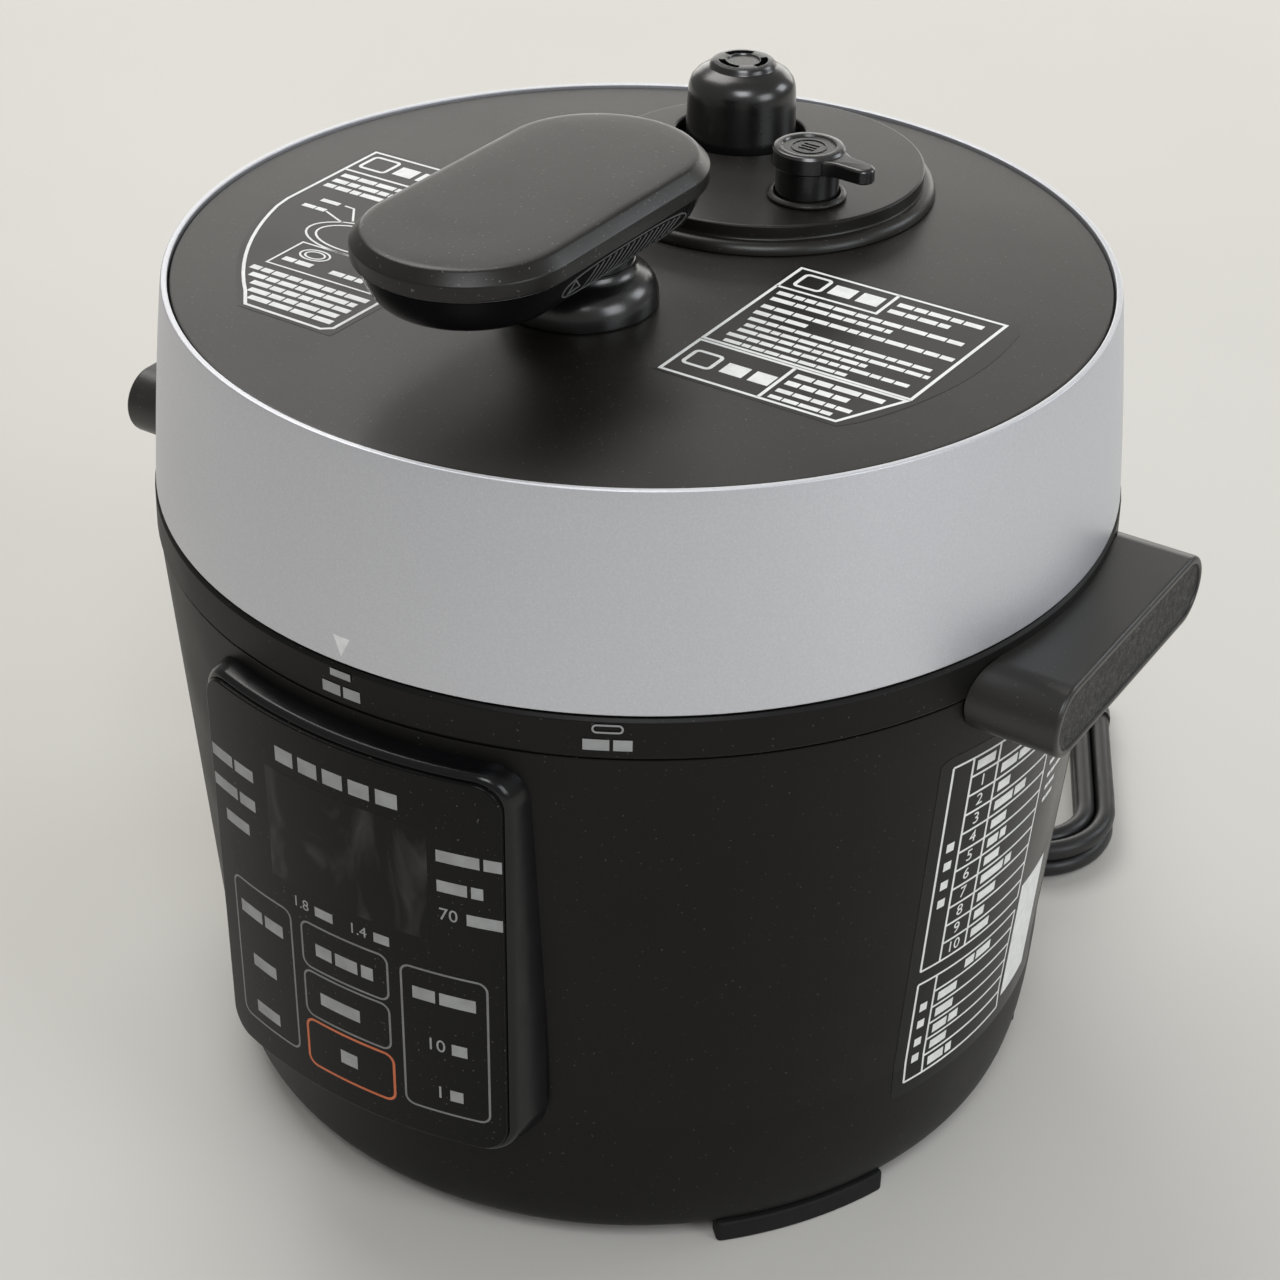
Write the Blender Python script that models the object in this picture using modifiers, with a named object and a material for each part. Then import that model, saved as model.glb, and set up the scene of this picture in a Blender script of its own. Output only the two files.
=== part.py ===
"""Electric pressure cooker, as a Blender model of its separate pieces.

A drum-shaped base holds the heater, the inner pot and the control panel. A twist-off pressure lid
carries its handle, the steam weight, the release button and the float pin. The mains lead lies in a
hank behind the base.

Frame: +Z up, the origin on the floor under the drum's axis, the control panel towards -Y and the
right-hand carrying handle towards +X. Lengths are in millimetres, and the helpers that make
meshes and curves turn them into the scene's metres.
"""

import math

import bmesh
import bpy
from mathutils import Matrix, Vector

MM = 0.001                           # one millimetre in the scene's metres
GAP = 0.3                            # clearance left between neighbouring pieces
SIDES = 36                           # facets round the large turned pieces
SMALL_SIDES = 16                     # facets round the small ones

# Driving dimensions of the base
FLOOR_CLEARANCE = 7                  # the feet hold the drum this far off the floor
SHELL_TOP = 170.8
SHELL_TOP_R = 129.6
SHELL_WAIST_Z = 48                   # below this height the drum rounds in to its base
SHELL_WAIST_R = 121.4
SHELL_BASE_R = 116.6
SHELL_WALL = 2.5
COLLAR_TOP = 182.2
COLLAR_R = 130.0
COLLAR_INNER_R = 114.0
HANDLE_REACH = 146.5                 # the carrying handles' end faces, from the axis
HANDLE_HALF_LENGTH = 44.6
HANDLE_HALF_HEIGHT = 9.9
HANDLE_Z = 169.3
RECESS_NEAR = 132.5                  # the finger recess under a handle, from the axis
RECESS_HALF_LENGTH = 34.0
FOOT_ANGLES = (-33, 33, 147, 213)
FOOT_RADII = (112.4, 118.6)
PLATE_LOW = 4.2
PLATE_HIGH = 6.7

SCREW_ANGLES = (70, 110, 250, 290)
SCREW_RADIUS = 107.8
SCREW_HOLE_R = 2.1

# Driving dimensions of the control panel
PANEL_FACE_R = 135.0
FILM_R = 136.2
PANEL_HALF_WIDTH = 47.6
PANEL_LOW = 46.5
PANEL_HIGH = 165.5
PANEL_CORNER = 9.0
FILM_INSET = 1.6
POCKET_HALF_WIDTH = 38.5
BOARD_SHEET = 1.6

# Driving dimensions of the pot and the lid
POT_R = 91.5                         # the pot's outer radius
POT_WALL = 1.6
FLANGE_R = 100.0
LINER_R = 98.5
LINER_SHEET = 1.0
POT_BOTTOM = 33
POT_RIM = 178.2
BAND_LOW = 182.9
BAND_LOW_R = 129.3
LID_TOP = 239
LID_RIM_R = 123.6
COVER_TOP = 238.3
COVER_UNDER = 235.6
INNER_LID_TOP = 213
INNER_LID_RIM = 192.4
INNER_LID_SHEET = 2.2
DECK_TOP = 245.5
DECK_WALL = 2.0
BUTTON_TOP = 259.8
BAYONET_COUNT = 6                    # teeth on the ring, and lugs on the lid
BAYONET_HALF_ANGLE = 10

# Places on the lid, in plan
DECK_AT = (0.0, 59.5)
WEIGHT_AT = (-15.0, 74.0)
BUTTON_AT = (22.9, 45.0)
FLOAT_AT = (-26.0, 44.0)
NECK_AT = (0.0, -30.0)
GRIP_AT = (0.0, -48.3)

# Driving dimensions of the lead
CORD_D = 6.4
OUTLET_X = -49.5
OUTLET_Z = 14
BOSS_BACK = 136.2
HANK_NEAR = (70.7, 132.7)            # centre of the fold nearest the base
HANK_HEADING = math.radians(116.6)   # the hank's long axis, from that fold
HANK_RUN = 64                        # straight length between the two folds
HANK_HALF_WIDTH = 29.6
HANK_HEIGHT = 13.0
PLUG_Y = 206
BLADE_OFFSET = 6.35                  # each blade, from the plug's middle
LEAD_ROUTE = [                       # from the strain relief to the hank
    (-49.5, 160.9, 14.0),
    (-48.4, 171.2, 12.8),
    (-41.6, 183.2, 9.6),
    (-30.0, 191.2, 6.4),
    (-17.6, 195.4, 4.6),
    (-6.6, 195.9, 3.8),
    (1.5, 194.0, 3.4),
    (7.8, 190.3, 3.3),
]
TAIL_ROUTE = [                       # from the hank to the plug
    (12.0, 211.8, 8.6),
    (6.3, 209.7, 7.6),
    (-2.4, 207.8, 5.8),
    (-14.0, 206.4, 4.4),
    (-27.0, 206.0, 4.2),
    (-40.0, 206.0, 4.2),
    (-49.5, 206.0, 6.0),
    (-55.6, 206.0, 6.6),
]

parts = None
cutters = None


# ---------------------------------------------------------------- scene helpers

def clear_scene():
    for obj in list(bpy.data.objects):
        bpy.data.objects.remove(obj, do_unlink=True)


def new_collection(name):
    group = bpy.data.collections.new(name)
    bpy.context.scene.collection.children.link(group)
    return group


def paint(name, colour, roughness, metallic=0.0):
    """A Principled material."""
    material = bpy.data.materials.new(name)
    material.use_nodes = True
    shader = material.node_tree.nodes["Principled BSDF"]
    shader.inputs["Base Color"].default_value = (*colour, 1.0)
    shader.inputs["Roughness"].default_value = roughness
    shader.inputs["Metallic"].default_value = metallic
    return material


FINISHES = {
    "black_plastic": ((0.018, 0.018, 0.018), 0.5, 0.0),
    "gloss_black": ((0.008, 0.008, 0.009), 0.2, 0.0),
    "silver": ((0.42, 0.43, 0.46), 0.38, 0.9),
    "steel": ((0.6, 0.6, 0.6), 0.3, 1.0),
    "aluminium": ((0.7, 0.7, 0.72), 0.4, 1.0),
    "pot_coating": ((0.05, 0.05, 0.055), 0.35, 0.3),
    "silicone": ((0.55, 0.55, 0.53), 0.6, 0.0),
    "rubber": ((0.02, 0.02, 0.02), 0.75, 0.0),
    "board": ((0.03, 0.16, 0.07), 0.5, 0.0),
    "brass": ((0.7, 0.52, 0.22), 0.3, 1.0),
}


def add_part(obj, finish):
    """Puts a finished piece in the cooker's collection and gives it a material of its own."""
    parts.objects.link(obj)
    obj.data.materials.append(paint(obj.name + "_paint", *FINISHES[finish]))
    return obj


def add_cutter(obj):
    cutters.objects.link(obj)
    obj.hide_render = True
    obj.display_type = "WIRE"
    return obj


def combine(obj, other, operation):
    """A live Boolean of obj with a cutter."""
    modifier = obj.modifiers.new(operation.lower(), "BOOLEAN")
    modifier.operation = operation
    modifier.object = other
    return obj


# ---------------------------------------------------------------- shapes

def arc(centre_r, centre_z, radius, start, end, count):
    """Points of a circular arc in a turned profile, angles in degrees from +R towards +Z."""
    points = []
    for step in range(count + 1):
        angle = math.radians(start + (end - start) * step / count)
        points.append((centre_r + radius * math.cos(angle), centre_z + radius * math.sin(angle)))
    return points


def turned_object(name, profile, sides, at=(0.0, 0.0)):
    """A loop of (radius, height) points, outer side downwards, turned about a vertical axis.

    The stretches of the loop that lie on the axis are left out.
    """
    mesh = bpy.data.meshes.new(name)
    following = [(i + 1) % len(profile) for i in range(len(profile))]
    edges = [(i, j) for i, j in enumerate(following) if profile[i][0] or profile[j][0]]
    mesh.from_pydata([(radius * MM, 0.0, height * MM) for radius, height in profile], edges, [])
    obj = bpy.data.objects.new(name, mesh)
    obj.location = (at[0] * MM, at[1] * MM, 0.0)
    screw = obj.modifiers.new("turn", "SCREW")
    screw.axis = "Z"
    screw.steps = sides
    screw.render_steps = sides
    screw.use_merge_vertices = True
    screw.merge_threshold = 0.00001
    screw.use_smooth_shade = True
    return obj


def turned(name, profile, finish, sides=SIDES, at=(0.0, 0.0)):
    return add_part(turned_object(name, profile, sides, at), finish)


def disc_profile(radius, low, high, hole=0.0):
    if hole:
        return [(radius, high), (radius, low), (hole, low), (hole, high)]
    return [(0.0, high), (radius, high), (radius, low), (0.0, low)]


def mesh_object(name, build, place=Matrix.Identity(4)):
    """An object whose mesh is filled in by build(bmesh) and then placed by a matrix."""
    mesh = bpy.data.meshes.new(name)
    work = bmesh.new()
    build(work)
    bmesh.ops.transform(work, matrix=Matrix.Scale(MM, 4) @ place, verts=work.verts)
    bmesh.ops.recalc_face_normals(work, faces=work.faces)
    work.to_mesh(mesh)
    work.free()
    return bpy.data.objects.new(name, mesh)


def box_object(name, low, high):
    size = [high[i] - low[i] for i in range(3)]
    centre = [(high[i] + low[i]) / 2 for i in range(3)]

    def build(work):
        place = Matrix.Translation(centre) @ Matrix.Diagonal((*size, 1.0))
        bmesh.ops.create_cube(work, size=1.0, matrix=place)

    return mesh_object(name, build)


def box(name, low, high, finish, edge=0.0):
    obj = add_part(box_object(name, low, high), finish)
    if edge:
        bevel = obj.modifiers.new("edges", "BEVEL")
        bevel.width = edge * MM
        bevel.segments = 2
    return obj


def rounded_rectangle(half_width, half_height, corner, steps=6):
    """Outline points, anticlockwise, of a rectangle with round corners."""
    points = []
    for side_x, side_y, first in ((1, 1, 0), (-1, 1, 90), (-1, -1, 180), (1, -1, 270)):
        for step in range(steps + 1):
            angle = math.radians(first + 90 * step / steps)
            points.append((side_x * (half_width - corner) + corner * math.cos(angle),
                           side_y * (half_height - corner) + corner * math.sin(angle)))
    return points


def stadium(half_width, half_length, steps=8):
    """Outline of a slot with round ends, its long axis along Y."""
    points = []
    straight = half_length - half_width
    for end, first in ((straight, 0), (-straight, 180)):
        for step in range(2 * steps + 1):
            angle = math.radians(first + 180 * step / (2 * steps))
            points.append((half_width * math.cos(angle), end + half_width * math.sin(angle)))
    return points


def circle(radius, sides=SIDES):
    angles = [2 * math.pi * step / sides for step in range(sides)]
    return [(radius * math.cos(angle), radius * math.sin(angle)) for angle in angles]


def sector(inner, outer, centre_deg, half_deg, steps=8):
    """Outline of a ring's sector."""
    points = []
    for radius, direction in ((outer, 1), (inner, -1)):
        for step in range(steps + 1):
            angle = math.radians(centre_deg + direction * half_deg * (2 * step / steps - 1))
            points.append((radius * math.cos(angle), radius * math.sin(angle)))
    return points


def extruded_object(name, outline, low, high, place=Matrix.Identity(4)):
    """A flat outline in XY, extruded from low to high along Z and then placed by a matrix."""
    curve = bpy.data.curves.new(name, "CURVE")
    curve.dimensions = "2D"
    curve.fill_mode = "BOTH"
    curve.extrude = (high - low) / 2
    spline = curve.splines.new("POLY")
    spline.points.add(len(outline) - 1)
    for point, (x, y) in zip(spline.points, outline):
        point.co = (x, y, 0.0, 1.0)
    spline.use_cyclic_u = True
    return curve_to_mesh(name, curve, place @ Matrix.Translation((0, 0, (low + high) / 2)))


def curve_to_mesh(name, curve, place):
    """Turns a curve into a welded mesh object, because Booleans need a mesh."""
    shape = bpy.data.objects.new(name + "_curve", curve)
    bpy.context.scene.collection.objects.link(shape)
    graph = bpy.context.evaluated_depsgraph_get()
    mesh = bpy.data.meshes.new_from_object(shape.evaluated_get(graph))
    bpy.data.objects.remove(shape, do_unlink=True)
    work = bmesh.new()
    work.from_mesh(mesh)
    bmesh.ops.remove_doubles(work, verts=work.verts, dist=0.001)
    bmesh.ops.recalc_face_normals(work, faces=work.faces)
    work.to_mesh(mesh)
    work.free()
    mesh.transform(Matrix.Scale(MM, 4) @ place)
    mesh.name = name
    return bpy.data.objects.new(name, mesh)


def loft_object(name, sections, place=Matrix.Identity(4)):
    """Joins outlines of equal point count, each given as (outline, height), and caps both ends."""

    def build(work):
        rings = []
        for outline, height in sections:
            rings.append([work.verts.new((x, y, height)) for x, y in outline])
        for lower, upper in zip(rings, rings[1:]):
            for i in range(len(lower)):
                j = (i + 1) % len(lower)
                work.faces.new((lower[i], lower[j], upper[j], upper[i]))
        work.faces.new(rings[0])
        work.faces.new(rings[-1])

    return mesh_object(name, build, place)


def smooth_route(points, spacing):
    """Evenly spaced points of the Catmull-Rom curve through a route."""
    route = [Vector(point) for point in points]
    padded = [2 * route[0] - route[1]] + route + [2 * route[-1] - route[-2]]
    fine = []
    for i in range(1, len(padded) - 2):
        before, start, end, after = padded[i - 1:i + 3]
        for step in range(20):
            t = step / 20
            fine.append(0.5 * (2 * start + (end - before) * t
                               + (2 * before - 5 * start + 4 * end - after) * t * t
                               + (3 * start - before - 3 * end + after) * t * t * t))
    fine.append(route[-1])
    length = sum((b - a).length for a, b in zip(fine, fine[1:]))
    count = max(2, round(length / spacing))
    even = [fine[0]]
    walked = 0.0
    for a, b in zip(fine, fine[1:]):
        walked += (b - a).length
        if walked >= len(even) * length / count and len(even) < count:
            even.append(b)
    even.append(fine[-1])
    return even


def tube(name, points, diameter, finish):
    """A round rod along points, as a bevelled curve with filled caps."""
    curve = bpy.data.curves.new(name, "CURVE")
    curve.dimensions = "3D"
    curve.bevel_depth = diameter / 2 * MM
    curve.bevel_resolution = 2
    curve.use_fill_caps = True
    spline = curve.splines.new("POLY")
    spline.points.add(len(points) - 1)
    for point, place in zip(spline.points, points):
        point.co = (*(Vector(place) * MM), 1.0)
    obj = bpy.data.objects.new(name, curve)
    return add_part(obj, finish)


def coil_points(at, radius, low, high, turns, per_turn=8):
    points = []
    count = int(turns * per_turn)
    for step in range(count + 1):
        angle = 2 * math.pi * step / per_turn
        height = low + (high - low) * step / count
        points.append((at[0] + radius * math.cos(angle), at[1] + radius * math.sin(angle), height))
    return points


def shifted(outline, by):
    return [(x + by[0], y + by[1]) for x, y in outline]


def drum_radius(z):
    """The drum's outer radius: a straight taper down to the waist, then an elliptical round."""
    if z >= SHELL_WAIST_Z:
        share = (z - SHELL_WAIST_Z) / (SHELL_TOP - SHELL_WAIST_Z)
        return SHELL_WAIST_R + (SHELL_TOP_R - SHELL_WAIST_R) * share
    drop = (SHELL_WAIST_Z - z) / (SHELL_WAIST_Z - FLOOR_CLEARANCE)
    return SHELL_BASE_R + (SHELL_WAIST_R - SHELL_BASE_R) * math.sqrt(max(0.0, 1 - drop ** 2))


# ---------------------------------------------------------------- the base

def outer_shell():
    heights = [SHELL_TOP, 110, SHELL_WAIST_Z, 36, 25, 16, 10, FLOOR_CLEARANCE]
    outer = [(drum_radius(z), z) for z in heights]
    lip = 9.5
    inner = [(drum_radius(z) - SHELL_WALL, z) for z in reversed(heights[:-2])]
    profile = outer + [(104, FLOOR_CLEARANCE), (104, lip), (111, lip)] + inner
    shell = turned("outer_shell", profile, "black_plastic")
    window = box_object("panel_window", (-40, -140, 62), (40, -100, 152))
    combine(shell, add_cutter(window), "DIFFERENCE")
    for number, angle in enumerate(SCREW_ANGLES):
        at = polar(SCREW_RADIUS, angle)
        hole = turned_object(f"lip_hole_{number + 1}", disc_profile(SCREW_HOLE_R, 6, 10.5), 12, at)
        combine(shell, add_cutter(hole), "DIFFERENCE")
    return shell


def polar(radius, degrees):
    return (radius * math.cos(math.radians(degrees)), radius * math.sin(math.radians(degrees)))


def upper_collar():
    low = SHELL_TOP + GAP
    deck = COLLAR_TOP - 2.5
    turned("upper_collar", [
        (COLLAR_R - 1.2, COLLAR_TOP),
        (COLLAR_R - 0.3, COLLAR_TOP - 0.9),
        (COLLAR_R, low + 0.8),
        (COLLAR_R - 0.5, low),
        (COLLAR_R - SHELL_WALL, low),
        (COLLAR_R - SHELL_WALL, deck),
        (COLLAR_INNER_R, deck),
        (COLLAR_INNER_R, COLLAR_TOP),
    ], "black_plastic")


def carrying_handle(name, side):
    """A flat grip with round edges and a finger recess underneath, cut to fit the collar."""
    outline = stadium(HANDLE_HALF_HEIGHT, HANDLE_HALF_LENGTH)
    turn = Matrix(((0, 0, side, 0), (0, 1, 0, 0), (1, 0, 0, HANDLE_Z), (0, 0, 0, 1)))
    handle = add_part(extruded_object(name, outline, 118, HANDLE_REACH, turn), "black_plastic")
    fit = turned_object(name + "_fit", disc_profile(COLLAR_R + GAP, 150, 190), 128)
    combine(handle, add_cutter(fit), "DIFFERENCE")
    inner, outer = sorted((side * RECESS_NEAR, side * (HANDLE_REACH - 4.5)))
    recess = box_object(name + "_recess", (inner, -RECESS_HALF_LENGTH, 150),
                        (outer, RECESS_HALF_LENGTH, HANDLE_Z + 4))
    combine(handle, add_cutter(recess), "DIFFERENCE")
    return handle


def base_plate():
    plate = extruded_object("base_plate", circle(111.6), PLATE_LOW, PLATE_HIGH)
    add_part(plate, "black_plastic")
    for number, angle in enumerate(SCREW_ANGLES):
        at = polar(SCREW_RADIUS, angle)
        hole = turned_object(f"plate_hole_{number + 1}", disc_profile(SCREW_HOLE_R, 3, 8), 12, at)
        combine(plate, add_cutter(hole), "DIFFERENCE")
    for number in range(6):
        y = (number - 2.5) * 9
        slot = box_object(f"vent_{number + 1}", (-22, y - 2, 3), (22, y + 2, 8))
        combine(plate, add_cutter(slot), "DIFFERENCE")


def base_screws():
    for number, angle in enumerate(SCREW_ANGLES):
        profile = [(0, 11.5), (1.7, 11.5), (1.7, 3.9), (3.6, 3.9),
                   (3.6, 2.4), (0, 2.0)]
        turned(f"base_screw_{number + 1}", profile, "steel", 16, polar(SCREW_RADIUS, angle))


def feet():
    for number, angle in enumerate(FOOT_ANGLES):
        outline = sector(*FOOT_RADII, angle, 12.5)
        foot = extruded_object(f"foot_{number + 1}", outline, 0.0, FLOOR_CLEARANCE - GAP)
        add_part(foot, "rubber")


def control_panel():
    """The housing stands on the drum's front; the film, the display and the board complete it."""
    middle = (PANEL_LOW + PANEL_HIGH) / 2
    half_height = (PANEL_HIGH - PANEL_LOW) / 2
    upright = Matrix(((1, 0, 0, 0), (0, 0, -1, 0), (0, 1, 0, middle), (0, 0, 0, 1)))

    sections = [(rounded_rectangle(PANEL_HALF_WIDTH + 3.6, half_height + 1.5, PANEL_CORNER + 2), 108),
                (rounded_rectangle(PANEL_HALF_WIDTH, half_height, PANEL_CORNER), 140)]
    housing = add_part(loft_object("panel_housing", sections, upright), "black_plastic")
    face = turned_object("panel_face", disc_profile(PANEL_FACE_R, 20, 190), 120)
    combine(housing, add_cutter(face), "INTERSECT")
    above, below = 190, 36
    seat = [(drum_radius(min(z, SHELL_TOP)) + GAP, z) for z in (above, SHELL_TOP, SHELL_WAIST_Z, below)]
    seat_cutter = turned_object("panel_seat", [(0.0, above)] + seat + [(0.0, below)], 96)
    combine(housing, add_cutter(seat_cutter), "DIFFERENCE")
    pocket = add_cutter(box_object("panel_pocket", (-POCKET_HALF_WIDTH, -160, 63.5),
                                   (POCKET_HALF_WIDTH, -100, 150.5)))
    pocket_face = turned_object("pocket_face", disc_profile(PANEL_FACE_R - 2, 50, 170), 128)
    combine(pocket, add_cutter(pocket_face), "INTERSECT")
    combine(housing, pocket, "DIFFERENCE")

    outline = rounded_rectangle(PANEL_HALF_WIDTH - FILM_INSET, half_height - FILM_INSET, 7.6)
    film = add_part(extruded_object("panel_film", outline, 120, 150, upright), "gloss_black")
    skin = turned_object("film_skin", disc_profile(FILM_R, 20, 190, hole=PANEL_FACE_R + GAP), 120)
    combine(film, add_cutter(skin), "INTERSECT")

    board_back = -122.9
    box("control_board", (-36.5, board_back - BOARD_SHEET, 66), (36.5, board_back, 148), "board")
    box("display_module", (-21, -130.5, 112), (21, board_back - BOARD_SHEET - GAP, 139), "gloss_black", 0.5)


def heater():
    """The sheet liner, the heating plate with its element, and the posts that hold the plate."""
    liner_top = 172.2
    turned("inner_housing", [
        (112, liner_top), (112, liner_top - LINER_SHEET), (LINER_R, liner_top - LINER_SHEET),
        (LINER_R, 22), (94.5, 18), (14.4, 18), (14.4, 19.2), (94, 19.2),
        (LINER_R - LINER_SHEET, 22.7), (LINER_R - LINER_SHEET, liner_top),
    ], "steel")
    turned("heating_plate", [(80, 32.7), (82, 30.5), (82, 27),
                             (16, 27), (16, 32.7)], "aluminium")
    ring = arc(60, 23.4, 3.2, 0, -300, 5)
    turned("heating_element", ring, "steel", 28)
    for number, angle in enumerate((30, 150, 270)):
        turned(f"plate_post_{number + 1}", disc_profile(4, 19.5, 26.7), "steel", 16,
               polar(74, angle))


def temperature_sensor():
    turned("sensor_bracket", [(17, 17.7), (17, 16.5), (13.8, 16.5),
                              (13.8, 11.8), (5.2, 11.8), (5.2, 13),
                              (12.6, 13), (12.6, 17.7)], "steel", SMALL_SIDES)
    turned("temperature_sensor", [(0, 32.7), (10.5, 32.7), (11.5, 31.7),
                                  (11.5, 27), (4, 27), (4, 11.5),
                                  (0, 11.5)], "aluminium", SMALL_SIDES)
    tube("sensor_spring", coil_points((0, 0), 7.5, 14.0, 26.0, 4), 1.2, "steel")


def power_electronics():
    board_front = 103.0 + BOARD_SHEET
    seat = board_front + GAP
    box("power_board", (-35, 103.0, 60), (35, board_front, 130), "board")
    box("transformer", (-26, seat, 70), (-4, seat + 9, 90), "black_plastic", 1)
    box("relay", (6, seat, 70), (24, seat + 9, 84), "black_plastic", 0.8)


def inner_pot():
    """A straight-sided bowl with a rounded foot and a flat flange that the seal presses on."""
    corner = 14
    inside = POT_R - POT_WALL
    outer = [(FLANGE_R, POT_RIM), (FLANGE_R, POT_RIM - 2), (POT_R, POT_RIM - 2)]
    outer += arc(POT_R - corner, POT_BOTTOM + corner, corner, 0, -90, 4)
    inner = arc(inside - corner + POT_WALL, POT_BOTTOM + corner, corner - POT_WALL, -90, 0, 4)
    profile = outer + [(0.0, POT_BOTTOM), (0.0, POT_BOTTOM + POT_WALL)] + inner + [(inside, POT_RIM)]
    turned("inner_pot", profile, "pot_coating")


def locking_ring():
    """The fixed bayonet ring: it carries the pot's flange and its teeth face the lid's lugs."""
    ring = turned("locking_ring", [(113, 199.6), (113, 172.6), (94.5, 172.6),
                                   (94.5, 175.8), (109.5, 175.8), (109.5, 199.6)], "steel")
    for number in range(BAYONET_COUNT):
        outline = sector(105.5, 111, 360 / BAYONET_COUNT * number, BAYONET_HALF_ANGLE, 4)
        tooth = extruded_object(f"tooth_{number + 1}", outline, 196.6, 199.2)
        combine(ring, add_cutter(tooth), "UNION")


def cord_outlet():
    """The moulded boss on the drum's back that the lead comes out of."""
    low = (OUTLET_X - 15, 100, OUTLET_Z - 6.5)
    high = (OUTLET_X + 15, BOSS_BACK, OUTLET_Z + 22)
    boss = box("cord_outlet", low, high, "black_plastic", 2.5)
    heights = [60, SHELL_WAIST_Z, 36, 25, 16, 10, 6.6]
    seat = [(drum_radius(max(z, FLOOR_CLEARANCE)) + GAP, z) for z in heights]
    profile = [(0.0, heights[0])] + seat + [(0.0, heights[-1])]
    combine(boss, add_cutter(turned_object("outlet_seat", profile, 128)), "DIFFERENCE")


# ---------------------------------------------------------------- the lid

def lid_band():
    turned("lid_band", [
        (LID_RIM_R - 0.5, LID_TOP),
        (LID_RIM_R, LID_TOP - 0.6),
        (125.2, 224),
        (127.2, 205),
        (BAND_LOW_R, BAND_LOW + 0.5),
        (BAND_LOW_R - 0.4, BAND_LOW),
        (BAND_LOW_R - 1.9, BAND_LOW),
        (125.4, 205),
        (123.4, 224),
        (LID_RIM_R - 1.7, LID_TOP - 4),
        (LID_RIM_R - 1.7, LID_TOP),
    ], "silver")


def lid_cover():
    """The black top cover, with holes for the vent, the button, the float and the handle's bolt."""
    profile = [(0, COVER_TOP), (121, COVER_TOP), (121.6, COVER_TOP - 0.6),
               (121.6, COVER_UNDER), (0, COVER_UNDER)]
    cover = turned("lid_cover", profile, "black_plastic")
    for name, at, radius in (("vent_hole", WEIGHT_AT, 6), ("button_hole", BUTTON_AT, 4.2),
                             ("float_hole", FLOAT_AT, 4), ("bolt_hole", NECK_AT, 3.4)):
        hole = turned_object(name, disc_profile(radius, COVER_UNDER - 2, COVER_TOP + 2),
                             14, at)
        combine(cover, add_cutter(hole), "DIFFERENCE")


def vent_deck():
    """The raised round deck at the lid's back, hollow underneath."""
    low = COVER_TOP + GAP
    roll = arc(48.4 - 3.2, low, 3.2, 70, 0, 3)
    profile = [(0, DECK_TOP), (44.6, DECK_TOP), (45.2, DECK_TOP - 0.6)]
    profile += [(45.4, low + 3.2)] + roll[1:]
    inside = 45.2 - DECK_WALL
    profile += [(inside, low), (inside, DECK_TOP - DECK_WALL), (0, DECK_TOP - DECK_WALL)]
    deck = turned("vent_deck", profile, "black_plastic", SIDES, DECK_AT)
    for name, at, radius in (("weight_well", WEIGHT_AT, 18.4), ("button_bore", BUTTON_AT, 9.0),
                             ("float_bore", FLOAT_AT, 4.2)):
        hole = turned_object(name, disc_profile(radius, low + 2.5, DECK_TOP + 2), 20, at)
        combine(deck, add_cutter(hole), "DIFFERENCE")
    turned("button_collar", [(9.9, DECK_TOP + 1.6), (10.7, DECK_TOP + 0.9),
                             (10.7, DECK_TOP + GAP), (9.0, DECK_TOP + GAP),
                             (9.0, DECK_TOP + 1.6)], "black_plastic", SMALL_SIDES, BUTTON_AT)


def lid_handle():
    neck_top = 257.3
    base = COVER_TOP + GAP
    turned("handle_neck", [(4.0, neck_top), (14.2, neck_top), (14.2, 249.5),
                           (15.4, 247.6)]
           + arc(13.5, 241.6, 6.2, 62, 0, 3) + [(20.6, base), (4.0, base)],
           "gloss_black", 24, NECK_AT)

    def outline(half_width, half_length):
        return shifted(stadium(half_width, half_length, 9), GRIP_AT)

    shell = loft_object("handle_shell", [
        (outline(20.5, 48.5), 257.6), (outline(23.4, 51.2), 258.8),
        (outline(25.6, 53.2), 262.5), (outline(26.8, 54.2), 267.8),
        (outline(24.6, 52.0), 267.8), (outline(21.5, 49.0), 261.0)])
    add_part(shell, "gloss_black")
    hole = turned_object("shell_hole", disc_profile(3.4, 255, 264), 16, NECK_AT)
    combine(shell, add_cutter(hole), "DIFFERENCE")
    add_part(loft_object("handle_top", [
        (outline(23.6, 51.0), 272.6), (outline(25.4, 52.8), 268.1),
        (outline(27.4, 54.8), 268.1), (outline(27.6, 55.0), 271.8),
        (outline(25.3, 52.7), 274.8), (outline(24.6, 52.0), 275.1)]), "black_plastic")
    turned("handle_bolt", [(0, 263.5), (3.0, 263.5), (3.0, COVER_UNDER - GAP),
                           (6, COVER_UNDER - GAP), (6, COVER_UNDER - 3.5),
                           (0, COVER_UNDER - 3.5)], "steel", 16, NECK_AT)


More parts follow.
